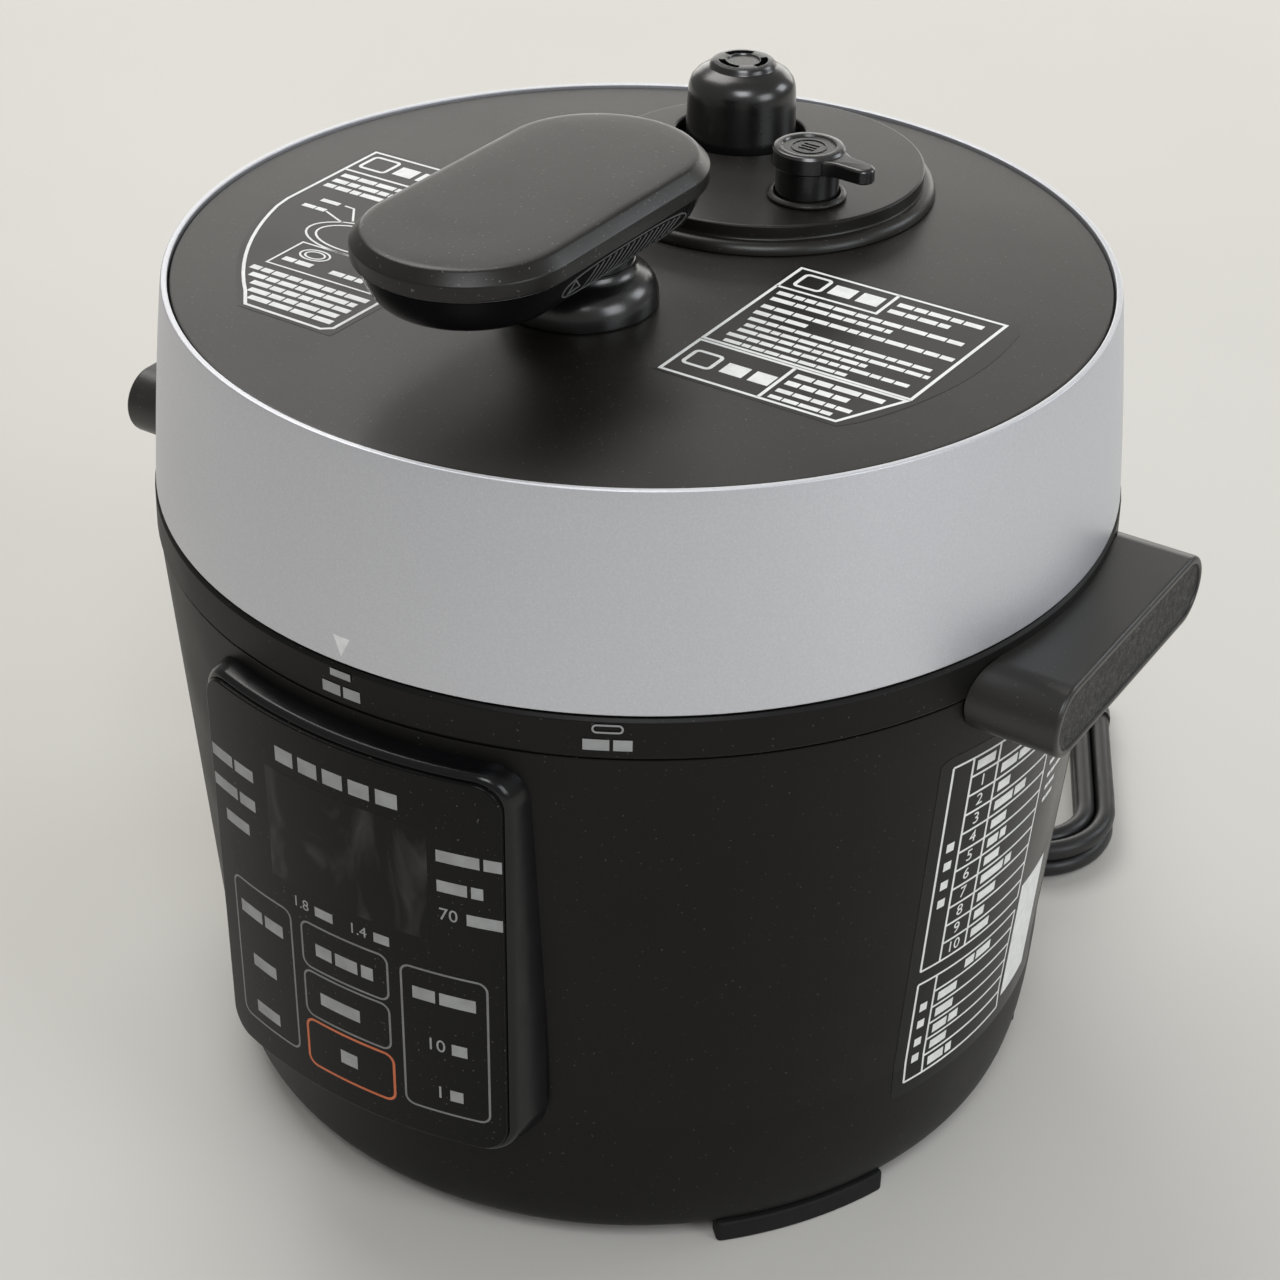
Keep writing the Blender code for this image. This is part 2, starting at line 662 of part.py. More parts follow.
def pressure_lid():
    """The pressed metal lid with its bayonet lugs, and the spacer that ties it to the cover."""
    sheet = INNER_LID_SHEET
    rim_top = INNER_LID_RIM
    profile = [(0, INNER_LID_TOP), (86, INNER_LID_TOP), (90, INNER_LID_TOP - 3),
               (93, 196), (95.5, rim_top), (102, rim_top),
               (102, rim_top - sheet), (94.4, rim_top - sheet), (90.8, 195),
               (88.2, INNER_LID_TOP - 4.4), (85.2, INNER_LID_TOP - sheet),
               (0, INNER_LID_TOP - sheet)]
    lid = turned("pressure_lid", profile, "steel")
    for number in range(BAYONET_COUNT):
        outline = sector(100, 104.6, 360 / BAYONET_COUNT * number, BAYONET_HALF_ANGLE, 4)
        lug = extruded_object(f"lug_{number + 1}", outline, rim_top - 2, rim_top - 0.2)
        combine(lid, add_cutter(lug), "UNION")
    for name, at, radius in (("lid_vent", WEIGHT_AT, 4.9), ("lid_valve", BUTTON_AT, 4.2),
                             ("lid_float", FLOAT_AT, 5.4)):
        hole = turned_object(name, disc_profile(radius, 205, 216), 14, at)
        combine(lid, add_cutter(hole), "DIFFERENCE")
    turned("lid_spacer", disc_profile(62, INNER_LID_TOP + GAP, COVER_UNDER - GAP, hole=59.5),
           "black_plastic", 48)
    turned("seal_ring", [(100, 189.9), (100, 181.5), (97.5, POT_RIM + GAP),
                         (93.5, POT_RIM + GAP), (95.5, 184), (94.5, 189.9)],
           "silicone")


def steam_weight():
    """The vent pipe, the loose weight on it with its cap, and the guard under the lid."""
    turned("vent_pipe", [(1.6, 252.5), (2.6, 252.5), (4.5, 248),
                         (4.5, INNER_LID_TOP + 2.5), (8.5, INNER_LID_TOP + 2.5),
                         (8.5, INNER_LID_TOP + GAP), (4.5, INNER_LID_TOP + GAP),
                         (4.5, 207.5), (1.6, 207.5)], "steel", SMALL_SIDES, WEIGHT_AT)
    cap = turned("weight_cap", [
        (0, 266.4), (7.4, 266.4), (8.6, 265.4), (9.4, 264.8),
        (13.2, 262.2), (15.0, 258.4), (15.6, 241.0), (15.2, 239.6),
        (13.7, 239.6), (13.4, 257.4), (11.8, 260.2), (0, 262.0),
    ], "gloss_black", 24, WEIGHT_AT)
    for number in range(3):
        outline = shifted(sector(3.6, 6.2, 120 * number + 30, 36, 3), WEIGHT_AT)
        slot = extruded_object(f"steam_slot_{number + 1}", outline, 255, 270)
        combine(cap, add_cutter(slot), "DIFFERENCE")
    turned("weight_core", [(0, 257.8), (10.8, 257.8), (12.8, 255.5),
                           (12.8, 241.5), (6, 241.5), (6, 250.5),
                           (2.9, 252.9), (0, 252.9)], "steel", SMALL_SIDES, WEIGHT_AT)
    turned("vent_guard", [(5.9, 210.4), (9, 210.4), (9, 201),
                          (7.5, 199.4), (2, 199.4), (2, 200.9),
                          (6.9, 200.9), (7.5, 201.6), (7.5, 209.4),
                          (5.9, 209.4)], "steel", SMALL_SIDES, WEIGHT_AT)


def release_button():
    """The sprung push button that tips the weight off its seat: a disc with a pointer on a stem."""
    top = BUTTON_TOP
    button = turned("release_button", [
        (0, top), (8.6, top), (9.7, top - 0.9), (9.8, top - 5.2),
        (8.5, top - 5.2), (8.5, 244.0), (7.2, 244.0), (7.2, 251.4),
        (3.0, 251.4), (3.0, 206.5), (0, 206.5),
    ], "gloss_black", 24, BUTTON_AT)
    pointer = []
    for step in range(9):
        angle = math.radians(-90 + 180 * step / 8)
        pointer.append(((18.2 + 3.0 * math.cos(angle)), 3.0 * math.sin(angle)))
    pointer += [(6.0, 6.6), (4.0, 0.0), (6.0, -6.6)]
    place = Matrix.Translation((*BUTTON_AT, 0)) @ Matrix.Rotation(math.radians(-9), 4, "Z")
    tip = extruded_object("button_pointer", pointer, top - 5.0, top - 0.8, place)
    combine(button, add_cutter(tip), "UNION")
    turned("button_valve", [(4.9, 209.9), (7.5, 209.9), (7.5, 207.5),
                            (3.4, 207.5), (3.4, 209.9)], "silicone", 20, BUTTON_AT)
    tube("button_spring", coil_points(BUTTON_AT, 5.2, 239.3, 250.6, 5), 0.9, "steel")


def float_pin():
    turned("float_pin", [(0, 244.6), (2.4, 244.6), (3.2, 243.8),
                         (3.2, 206.8), (4.6, 206.0), (4.6, 203.5),
                         (0, 203.5)], "steel", 20, FLOAT_AT)
    turned("float_bush", [(6.8, 215), (6.8, 213.3), (5.1, 213.3),
                          (5.1, 210.9), (3.6, 210.9), (3.6, 215)],
           "silicone", 20, FLOAT_AT)


# ---------------------------------------------------------------- the lead

def strain_relief():
    """A tapered rubber sleeve that leaves the boss towards +Y."""
    profile = [(0, 0.2), (6.2, 0.2), (6.2, 3), (5.2, 4),
               (3.9, 23.6), (0, 23.6)]
    obj = turned_object("strain_relief", [(radius, -length) for radius, length in profile], 24)
    obj.rotation_euler = (math.radians(90), 0, 0)
    obj.location = Vector((OUTLET_X, BOSS_BACK + 0.1, OUTLET_Z)) * MM
    add_part(obj, "rubber")


def lead():
    tube("power_cord", smooth_route(LEAD_ROUTE, 2.2 * CORD_D), CORD_D, "rubber")
    tube("cord_tail", smooth_route(TAIL_ROUTE, 2.2 * CORD_D), CORD_D, "rubber")
    heading = HANK_HEADING - math.pi / 2
    middle_x = HANK_NEAR[0] + HANK_RUN / 2 * math.cos(HANK_HEADING)
    middle_y = HANK_NEAR[1] + HANK_RUN / 2 * math.sin(HANK_HEADING)
    place = Matrix.Translation((middle_x, middle_y, 0)) @ Matrix.Rotation(heading, 4, "Z")
    outline = stadium(HANK_HALF_WIDTH, HANK_RUN / 2 + HANK_HALF_WIDTH)
    add_part(extruded_object("cord_hank", outline, 0.05, HANK_HEIGHT, place), "rubber")


def plug():
    near, far = -56.3, -88.0
    half_width = 10.5
    box("plug_body", (far, PLUG_Y - half_width, 0.2), (near, PLUG_Y + half_width, 13.2), "rubber", 2.5)
    for number, y in enumerate((PLUG_Y - BLADE_OFFSET, PLUG_Y + BLADE_OFFSET)):
        box(f"plug_blade_{number + 1}", (far - 17.3, y - 0.75, 3.5), (far - GAP, y + 0.75, 9.8), "brass")


def main():
    global parts, cutters
    clear_scene()
    parts = new_collection("pressure_cooker")
    cutters = new_collection("cutters")
    outer_shell()
    upper_collar()
    carrying_handle("right_handle", 1)
    carrying_handle("left_handle", -1)
    base_plate()
    base_screws()
    feet()
    control_panel()
    heater()
    temperature_sensor()
    power_electronics()
    inner_pot()
    locking_ring()
    cord_outlet()
    lid_band()
    lid_cover()
    vent_deck()
    lid_handle()
    pressure_lid()
    steam_weight()
    release_button()
    float_pin()
    strain_relief()
    lead()
    plug()


main()
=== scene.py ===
"""Looks of an electric pressure cooker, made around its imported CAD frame.

Every piece is placed from the frame's own boxes and sections, and rides on a CAD body. Lengths here
are in millimetres, and a piece's mesh is scaled to the scene's metres when it is finished.
"""

import math
import random

import bmesh
import bpy
from mathutils import Matrix, Vector


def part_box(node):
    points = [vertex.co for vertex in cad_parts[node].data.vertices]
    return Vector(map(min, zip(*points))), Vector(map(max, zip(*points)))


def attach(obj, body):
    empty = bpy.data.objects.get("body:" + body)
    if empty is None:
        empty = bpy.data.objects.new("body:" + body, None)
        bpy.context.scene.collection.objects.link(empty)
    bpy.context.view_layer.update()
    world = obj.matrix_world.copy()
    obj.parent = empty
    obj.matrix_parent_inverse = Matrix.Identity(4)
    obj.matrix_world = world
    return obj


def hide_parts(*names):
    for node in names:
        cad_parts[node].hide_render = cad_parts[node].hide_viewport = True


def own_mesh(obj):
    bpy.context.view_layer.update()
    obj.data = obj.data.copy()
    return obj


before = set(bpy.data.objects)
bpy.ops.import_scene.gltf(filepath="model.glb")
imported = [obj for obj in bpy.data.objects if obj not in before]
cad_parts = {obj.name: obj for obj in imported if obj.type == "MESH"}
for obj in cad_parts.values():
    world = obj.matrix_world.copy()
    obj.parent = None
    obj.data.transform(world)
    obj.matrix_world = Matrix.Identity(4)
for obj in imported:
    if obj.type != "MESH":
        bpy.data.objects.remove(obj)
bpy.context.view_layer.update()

MM = 0.001
ROUND_SIDES = 144             # facets round a large turned piece
LID_SIDES = 192
SMALL_SIDES = 72
ON_AXIS = 1e-6                # a radius below this counts as a point on the axis
SHARP = 34                    # degrees between faces that meet in a sharp edge
PRINT_RISE, PANEL_RISE, MENU_RISE, LABEL_RISE = 0.06, 0.04, 0.09, 0.1   # heights of print


def polar(radius, degrees):
    angle = math.radians(degrees)
    return (radius * math.cos(angle), radius * math.sin(angle))


def low(node):
    return [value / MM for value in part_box(node)[0]]


def high(node):
    return [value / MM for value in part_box(node)[1]]


def centre(node):
    return [(a + b) / 2 for a, b in zip(low(node), high(node))]


# Places taken from the frame
COVER_Z = high("lid_cover")[2]
DECK_Z = high("vent_deck")[2]
DECK_AT = centre("vent_deck")[:2]
WEIGHT_AT = centre("weight_cap")[:2]
BUTTON_AT = centre("button_collar")[:2]
NECK_AT = centre("handle_neck")[:2]
GRIP_AT = centre("handle_top")[:2]
BAND_HIGH = high("lid_band")[2]
BAND_LOW = low("lid_band")[2]
BAND_LOW_R = high("lid_band")[0]
BAND_HIGH_R = 123.6
COLLAR_R = high("upper_collar")[0]
SHELL_HIGH = high("outer_shell")[2]
SHELL_LOW = low("outer_shell")[2]
SHELL_HIGH_R = high("outer_shell")[0]
FILM_R = -low("panel_film")[1]
PANEL_MARGIN = 1.6            # how far the panel's case stands outside its film
PANEL_LOW = low("panel_film")[2] - PANEL_MARGIN
PANEL_HIGH = high("panel_film")[2] + PANEL_MARGIN
PANEL_HALF_WIDTH = high("panel_film")[0] + PANEL_MARGIN
GRIP_HALF_WIDTH, GRIP_HALF_LENGTH = 27.6, 55.0
CORD_D = 6.4


# ---- finishes

class Finish:
    """A Principled material that is built up from procedural layers."""

    def __init__(self, name, colour, roughness, metallic=0.0, specular=0.5, coat=0.0):
        self.material = bpy.data.materials.new(name)
        self.material.use_nodes = True
        self.tree = self.material.node_tree
        self.shader = self.tree.nodes["Principled BSDF"].inputs
        self.roughness = roughness
        for socket, value in (("Base Color", (*colour, 1.0)), ("Roughness", roughness),
                              ("Metallic", metallic), ("Specular IOR Level", specular),
                              ("Coat Weight", coat), ("Coat Roughness", 0.12)):
            self.shader[socket].default_value = value
        self.place = self.node("TexCoord").outputs["Object"]

    def node(self, kind, sockets=None, **settings):
        """A new node. Its sockets are given as numbers, or as the outputs that feed them."""
        made = self.tree.nodes.new("ShaderNode" + kind)
        for name, value in settings.items():
            setattr(made, name, value)
        for name, value in (sockets or {}).items():
            if isinstance(value, bpy.types.NodeSocket):
                self.tree.links.new(value, made.inputs[name])
            else:
                made.inputs[name].default_value = value
        return made

    def noise(self, scale, detail=3.0, stretch=None, slant=0.0, warp=0.0):
        """Noise from 0 to 1 over the object, in features of about 1 / scale metres."""
        place = self.place
        if stretch:
            turned_to = (0.0, math.radians(slant), 0.0)
            place = self.node("Mapping", {"Vector": place, "Rotation": turned_to,
                                          "Scale": stretch}).outputs["Vector"]
        return self.node("TexNoise", {"Vector": place, "Scale": scale, "Detail": detail,
                                      "Distortion": warp}).outputs["Fac"]

    def ranged(self, value, from_low, from_high, to_low, to_high):
        return self.node("MapRange", {"Value": value, "From Min": from_low, "From Max": from_high,
                                      "To Min": to_low, "To Max": to_high}).outputs["Result"]

    def mixed(self, factor, second):
        """Lays a second colour over whatever feeds the base colour."""
        base = self.shader["Base Color"]
        below = base.links[0].from_socket if base.is_linked else base.default_value
        made = self.node("Mix", {"A": below, "B": (*second, 1.0), "Factor": factor}, data_type="RGBA")
        self.tree.links.new(made.outputs["Result"], base)
        return self

    def tone(self, scale, second, reach=1.0, detail=4.0, stretch=None):
        """Soft patches of a second colour."""
        return self.mixed(self.ranged(self.noise(scale, detail, stretch), 0.35, 0.7, 0.0, reach), second)

    def specks(self, scale, second, rarity=0.74, reach=0.8):
        """Small hard spots, such as dust or flakes."""
        return self.mixed(self.ranged(self.noise(scale, 0.0), rarity, rarity + 0.03, 0.0, reach), second)

    def smears(self, second, reach):
        """Wispy slanted streaks, as fingers leave on a glossy window."""
        streaks = self.noise(55, 3.0, (1.0, 1.0, 0.34), slant=-32, warp=1.6)
        return self.mixed(self.ranged(streaks, 0.50, 0.72, 0.0, reach), second)

    def gloss(self, scale, spread, detail=4.0, stretch=None):
        """Roughness that wanders by the spread either side of its middle."""
        wander = self.ranged(self.noise(scale, detail, stretch), 0.3, 0.7,
                             self.roughness - spread, self.roughness + spread)
        self.tree.links.new(wander, self.shader["Roughness"])
        return self

    def grain(self, scale, depth_mm, strength=1.0, detail=2.0, stretch=None):
        """Fine relief of the surface."""
        bump = self.node("Bump", {"Strength": strength, "Distance": depth_mm * MM,
                                  "Height": self.noise(scale, detail, stretch)})
        self.tree.links.new(bump.outputs["Normal"], self.shader["Normal"])
        return self


DUST = (0.11, 0.108, 0.10)
finishes = {
    "body": Finish("body_plastic", (0.0040, 0.0036, 0.0033), 0.45, specular=0.20)
    .tone(14, (0.0060, 0.0055, 0.0050)).gloss(30, 0.05)
    .grain(2600, 0.05, 0.35).specks(1500, DUST, 0.82, 0.5),
    "cover": Finish("cover_plastic", (0.0085, 0.0077, 0.0064), 0.35, specular=0.44)
    .tone(16, (0.0140, 0.0126, 0.0106)).gloss(24, 0.035)
    .grain(2400, 0.05, 0.4).specks(1600, DUST, 0.79, 0.7),
    "grip": Finish("grip_plastic", (0.0095, 0.0088, 0.0076), 0.33, specular=0.38)
    .tone(30, (0.0135, 0.0125, 0.0110)).gloss(60, 0.035)
    .grain(2400, 0.05, 0.35).specks(1250, DUST, 0.775, 0.8),
    "gloss": Finish("gloss_plastic", (0.0028, 0.0028, 0.0032), 0.15)
    .tone(40, (0.0045, 0.0045, 0.005)).gloss(70, 0.05).grain(900, 0.02, 0.12),
    "handle": Finish("side_handle_plastic", (0.0120, 0.0112, 0.0098), 0.36, specular=0.62)
    .tone(30, (0.0165, 0.0153, 0.0136)).gloss(60, 0.035)
    .grain(2400, 0.05, 0.35).specks(1500, DUST, 0.81, 0.6),
    "case": Finish("panel_case_plastic", (0.0032, 0.0033, 0.0038), 0.20, specular=0.36)
    .tone(50, (0.0050, 0.0050, 0.0056)).gloss(90, 0.04).grain(1700, 0.03, 0.25),
    "satin": Finish("satin_plastic", (0.0046, 0.0045, 0.0044), 0.25, specular=0.85)
    .tone(50, (0.0085, 0.0082, 0.008)).gloss(90, 0.05).grain(1700, 0.03, 0.25),
    # The ribs' light grey is a painted glint: the real ribs are the shell's glossy black plastic, lit up by
    # reflections.
    "rib": Finish("ribbed_grip_painted_glint", (0.17, 0.17, 0.173), 0.20, specular=0.7)
    .tone(50, (0.20, 0.20, 0.203)).gloss(90, 0.05).grain(1700, 0.03, 0.25),
    "film": Finish("panel_film_print", (0.0038, 0.0036, 0.0036), 0.25, specular=0.14)
    .tone(25, (0.0055, 0.0052, 0.0051)).gloss(35, 0.05)
    .grain(1900, 0.02, 0.2).specks(1500, DUST, 0.80, 0.6),
    "window": Finish("display_window", (0.0034, 0.0033, 0.0032), 0.20, specular=0.16)
    .smears((0.075, 0.073, 0.068), 0.7).gloss(60, 0.06).grain(1200, 0.02, 0.15),
    "silver": Finish("silver_coating", (0.61, 0.62, 0.655), 0.41, metallic=0.62)
    .tone(1500, (0.69, 0.70, 0.735), 0.5, 2.0).gloss(18, 0.03)
    .grain(2600, 0.03, 0.2).specks(3600, (0.86, 0.865, 0.88), 0.70, 0.35),
    "ink": Finish("white_ink", (0.86, 0.87, 0.86), 0.5)
    .tone(300, (0.74, 0.75, 0.74)).grain(3000, 0.02, 0.3),
    "grey_ink": Finish("grey_ink", (0.34, 0.35, 0.35), 0.45)
    .tone(200, (0.27, 0.275, 0.275)).grain(3000, 0.02, 0.3),
    "line_ink": Finish("outline_ink", (0.20, 0.205, 0.205), 0.45)
    .tone(200, (0.155, 0.16, 0.16)).grain(3000, 0.02, 0.3),
    "orange_ink": Finish("orange_ink", (0.62, 0.15, 0.05), 0.45)
    .tone(200, (0.52, 0.12, 0.04)).grain(3000, 0.02, 0.3),
    "label_film": Finish("label_film", (0.0056, 0.0051, 0.0044), 0.33, specular=0.42)
    .tone(40, (0.0075, 0.0068, 0.0060)).gloss(50, 0.035).grain(1200, 0.02, 0.2),
    "sheet_film": Finish("menu_sheet_film", (0.0030, 0.0030, 0.0030), 0.30, specular=0.22)
    .tone(40, (0.0045, 0.0044, 0.0043)).gloss(50, 0.04).grain(1200, 0.02, 0.2),
    "steel": Finish("brushed_steel", (0.56, 0.565, 0.57), 0.28, metallic=1.0)
    .tone(12, (0.48, 0.485, 0.49)).gloss(60, 0.08, 3.0, (1.0, 1.0, 12.0))
    .grain(500, 0.02, 0.25, 2.0, (1.0, 1.0, 14.0)),
    "zinc": Finish("plated_steel", (0.52, 0.52, 0.50), 0.36, metallic=1.0)
    .tone(90, (0.42, 0.425, 0.42)).gloss(150, 0.08).grain(1300, 0.02, 0.3),
    "cast": Finish("cast_aluminium", (0.60, 0.60, 0.61), 0.42, metallic=1.0)
    .tone(60, (0.50, 0.50, 0.51)).gloss(120, 0.08).grain(1400, 0.05, 0.5),
    "pot": Finish("pot_coating", (0.030, 0.030, 0.032), 0.34, coat=0.3)
    .tone(20, (0.042, 0.042, 0.044)).specks(900, (0.16, 0.16, 0.165), 0.68, 0.7)
    .gloss(60, 0.05).grain(1500, 0.03, 0.3),
    "silicone": Finish("silicone", (0.42, 0.42, 0.40), 0.5)
    .tone(40, (0.36, 0.36, 0.345)).gloss(80, 0.06).grain(1500, 0.03, 0.3),
    "rubber": Finish("cord_vinyl", (0.0075, 0.0075, 0.0078), 0.40)
    .tone(90, (0.012, 0.012, 0.012)).gloss(140, 0.06).grain(1400, 0.04, 0.35),
    "foot": Finish("foot_rubber", (0.006, 0.006, 0.006), 0.7, specular=0.3)
    .tone(120, (0.009, 0.009, 0.009)).grain(1200, 0.08, 0.6),
    "brass": Finish("blade_metal", (0.68, 0.62, 0.50), 0.25, metallic=1.0)
    .tone(80, (0.60, 0.54, 0.43)).gloss(160, 0.07).grain(900, 0.02, 0.3),
    "board": Finish("circuit_board", (0.02, 0.11, 0.05), 0.42)
    .tone(260, (0.03, 0.15, 0.07)).specks(700, (0.55, 0.50, 0.36), 0.68, 0.8)
    .grain(1500, 0.03, 0.3),
    "grain": Finish("grained_end", (0.0075, 0.0073, 0.0070), 0.55, specular=0.32)
    .tone(900, (0.021, 0.0205, 0.0198), 1.0, 2.0).gloss(600, 0.1)
    .grain(1700, 0.22, 0.8, 2.0).specks(1900, (0.15, 0.15, 0.145), 0.72, 0.6),
}


# ---- mesh helpers

def scene_mesh(name, work):
    """A mesh in metres from a bmesh in millimetres."""
    bmesh.ops.recalc_face_normals(work, faces=work.faces)
    bmesh.ops.scale(work, vec=(MM, MM, MM), verts=work.verts)
    mesh = bpy.data.meshes.new(name)
    work.to_mesh(mesh)
    work.free()
    return mesh


def placed(name, data):
    """A new object in the scene."""
    obj = bpy.data.objects.new(name, data)
    bpy.context.scene.collection.objects.link(obj)
    return obj


def smoothed(mesh, sharp):
    mesh.shade_smooth()
    mesh.set_sharp_from_angle(angle=math.radians(sharp))


def piece(name, work, finish, body, replaces=(), sharp=SHARP):
    """Turns a bmesh in millimetres into a finished piece that rides on a body."""
    mesh = scene_mesh(name, work)
    smoothed(mesh, sharp)
    obj = placed(name, mesh)
    for key in (finish,) if isinstance(finish, str) else finish:
        mesh.materials.append(finishes[key].material)
    shading = obj.modifiers.new("shading", "WEIGHTED_NORMAL")
    shading.keep_sharp = True
    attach(obj, body)
    if replaces:
        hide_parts(*replaces)
    return obj


def carve(obj, cutters, operation="DIFFERENCE"):
    """Cuts or joins other bmeshes, in millimetres, and keeps the result as plain mesh."""
    shading = obj.modifiers["shading"]
    for number, work in enumerate(cutters):
        mesh = scene_mesh("cutter", work)
        for material in obj.data.materials:
            mesh.materials.append(material)
        tool = placed("cutter", mesh)
        cut = obj.modifiers.new(f"cut_{number}", "BOOLEAN")
        cut.operation = operation
        cut.object = tool
        shading.show_viewport = False
        graph = bpy.context.evaluated_depsgraph_get()
        made = bpy.data.meshes.new_from_object(obj.evaluated_get(graph))
        obj.modifiers.remove(cut)
        shading.show_viewport = True
        made.name = obj.data.name
        obj.data = made
        bpy.data.objects.remove(tool, do_unlink=True)
    smoothed(obj.data, SHARP)


def arc(centre_r, centre_z, radius, start, end, count):
    """Points of a circular arc, angles in degrees from +R towards +Z."""
    turns = (polar(radius, start + (end - start) * step / count) for step in range(count + 1))
    return [(centre_r + x, centre_z + y) for x, y in turns]


def rounded(points, radius, steps=4, least=18):
    """A closed outline with its corners rounded, apart from those on the axis."""
    made = []
    count = len(points)
    for i, corner in enumerate(points):
        here = Vector(corner)
        before = Vector(points[i - 1]) - here
        after = Vector(points[(i + 1) % count]) - here
        turn = math.pi - before.angle(after, math.pi)
        if here.x < ON_AXIS or turn < math.radians(least):
            made.append(tuple(here))
            continue
        reach = min(radius * math.tan(turn / 2), 0.45 * before.length, 0.45 * after.length)
        start = here + before.normalized() * reach
        end = here + after.normalized() * reach
        for step in range(steps + 1):
            t = step / steps
            made.append(tuple(start * (1 - t) ** 2 + here * 2 * t * (1 - t) + end * t ** 2))
    return made


def turn(work, outline, at=(0.0, 0.0), sides=ROUND_SIDES):
    """Turns a closed (radius, height) outline about a vertical axis."""
    angles = [2 * math.pi * i / sides for i in range(sides)]
    rings = []
    for radius, height in outline:
        around = angles if radius > ON_AXIS else angles[:1]
        rings.append([work.verts.new((at[0] + radius * math.cos(a), at[1] + radius * math.sin(a), height))
                      for a in around])
    for here, there in zip(rings, rings[1:] + rings[:1]):
        if len(here) == 1 and len(there) == 1:
            continue
        for i in range(sides):
            j = (i + 1) % sides
            corners = (here[i % len(here)], here[j % len(here)], there[j % len(there)], there[i % len(there)])
            work.faces.new(list(dict.fromkeys(corners)))
    return work


def turned(name, outline, finish, body, replaces=(), at=(0.0, 0.0), sides=ROUND_SIDES):
    return piece(name, turn(bmesh.new(), outline, at, sides), finish, body, replaces)


def section(node):
    """The (radius, height) outline of a turned CAD node, read from its mesh on the +X side."""
    axis = centre(node)
    places = {}
    joined = {}
    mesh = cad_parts[node].data
    for link in mesh.edges:
        ends = [mesh.vertices[i].co / MM for i in link.vertices]
        if all(abs(p.y - axis[1]) < 0.004 and p.x > axis[0] - 0.004 for p in ends):
            keys = [(round((p.x - axis[0]) * 50), round(p.z * 50)) for p in ends]
            for key, p in zip(keys, ends):
                places[key] = (max(0.0, p.x - axis[0]), p.z)
            if keys[0] != keys[1]:
                joined.setdefault(keys[0], set()).add(keys[1])
                joined.setdefault(keys[1], set()).add(keys[0])
    start = max(joined, key=lambda key: (len(joined[key]) == 1, places[key][0]))
    walk = [start]
    while True:
        ahead = [key for key in joined[walk[-1]] if key not in walk]
        if not ahead:
            break
        walk.append(min(ahead, key=lambda key: (len(joined[key]) != 2, key)))
    outline = [places[key] for key in walk]
    if len(joined[walk[0]]) == 1:
        outline = [(0.0, outline[0][1])] + outline + [(0.0, outline[-1][1])]
    return outline


def refined(node, finish, body, edge=0.5, sides=ROUND_SIDES):
    """A turned CAD node made again with more facets and with rounded edges."""
    return turned(node + "_fine", rounded(section(node), edge), finish, body, (node,),
                  centre(node)[:2], sides)


def stack(work, rings, capped=True, closed=False):
    """Joins rings of equally many points. Returns the list of vertex rings."""
    made = [[work.verts.new(point) for point in ring] for ring in rings]
    for here, there in zip(made, made[1:] + (made[:1] if closed else [])):
        for i in range(len(here)):
            j = (i + 1) % len(here)
            work.faces.new((here[i], here[j], there[j], there[i]))
    if capped and not closed:
        work.faces.new(made[0])
        work.faces.new(made[-1])
    return made


def stacked(rings, closed=False):
    work = bmesh.new()
    stack(work, rings, closed=closed)
    return work


def layers(work, outline, heights, place=lambda u, v, h: (u, v, h)):
    """A slab: the same outline at each height."""
    stack(work, [[place(u, v, h) for u, v in outline] for h in heights])
    return work


def sector(work, middle, outer, inner, bottom, top):
    """A tooth or lug 20 degrees wide, between two radii."""
    outline = arc(0, 0, outer, middle - 10, middle + 10, 8) + arc(0, 0, inner, middle + 10, middle - 10, 8)
    return layers(work, outline, (bottom, top))


def ellipse(u, v, half_u, half_v, count):
    return [(u + half_u * x, v + half_v * y) for x, y in arc(0, 0, 1, 0, 360 - 360 / count, count - 1)]


def rim(edge, top, angles, inset=0.0):
    """(inset, height) pairs that round off a rim below the top, at angles from 0 to 90 degrees."""
    return [(inset + edge * (1 - math.cos(math.radians(a))), top - edge + edge * math.sin(math.radians(a)))
            for a in angles]


def stadium(half_width, half_length, steps=24):
    """Outline of a slot with round ends, its long axis along the second coordinate."""
    straight = half_length - half_width
    return (arc(0, straight, half_width, 0, 180, steps)
            + arc(0, -straight, half_width, 180, 360, steps))


def rounded_box(half_x, half_y, corner, steps=8):
    points = []
    for side_x, side_y, first in ((1, 1, 0), (-1, 1, 90), (-1, -1, 180), (1, -1, 270)):
        points += arc(side_x * (half_x - corner), side_y * (half_y - corner), corner,
                      first, first + 90, steps)
    return points


def cushion_levels(height, edge, steps=4):
    """(inset, height) pairs of a slab from 0 to height with both rims rounded."""
    return arc(edge, edge, edge, 270, 180, steps) + arc(edge, height - edge, edge, 180, 90, steps)


def subdivided(path, closed, longest=2.5):
    """The same path with no stretch longer than the given length."""
    made = []
    ends = path[1:] + path[:1] if closed else path[1:]
    for (ax, ay), (bx, by) in zip(path, ends):
        count = max(1, math.ceil(math.hypot(bx - ax, by - ay) / longest))
        made += [(ax + (bx - ax) * i / count, ay + (by - ay) * i / count) for i in range(count)]
    if not closed:
        made.append(path[-1])
    return made


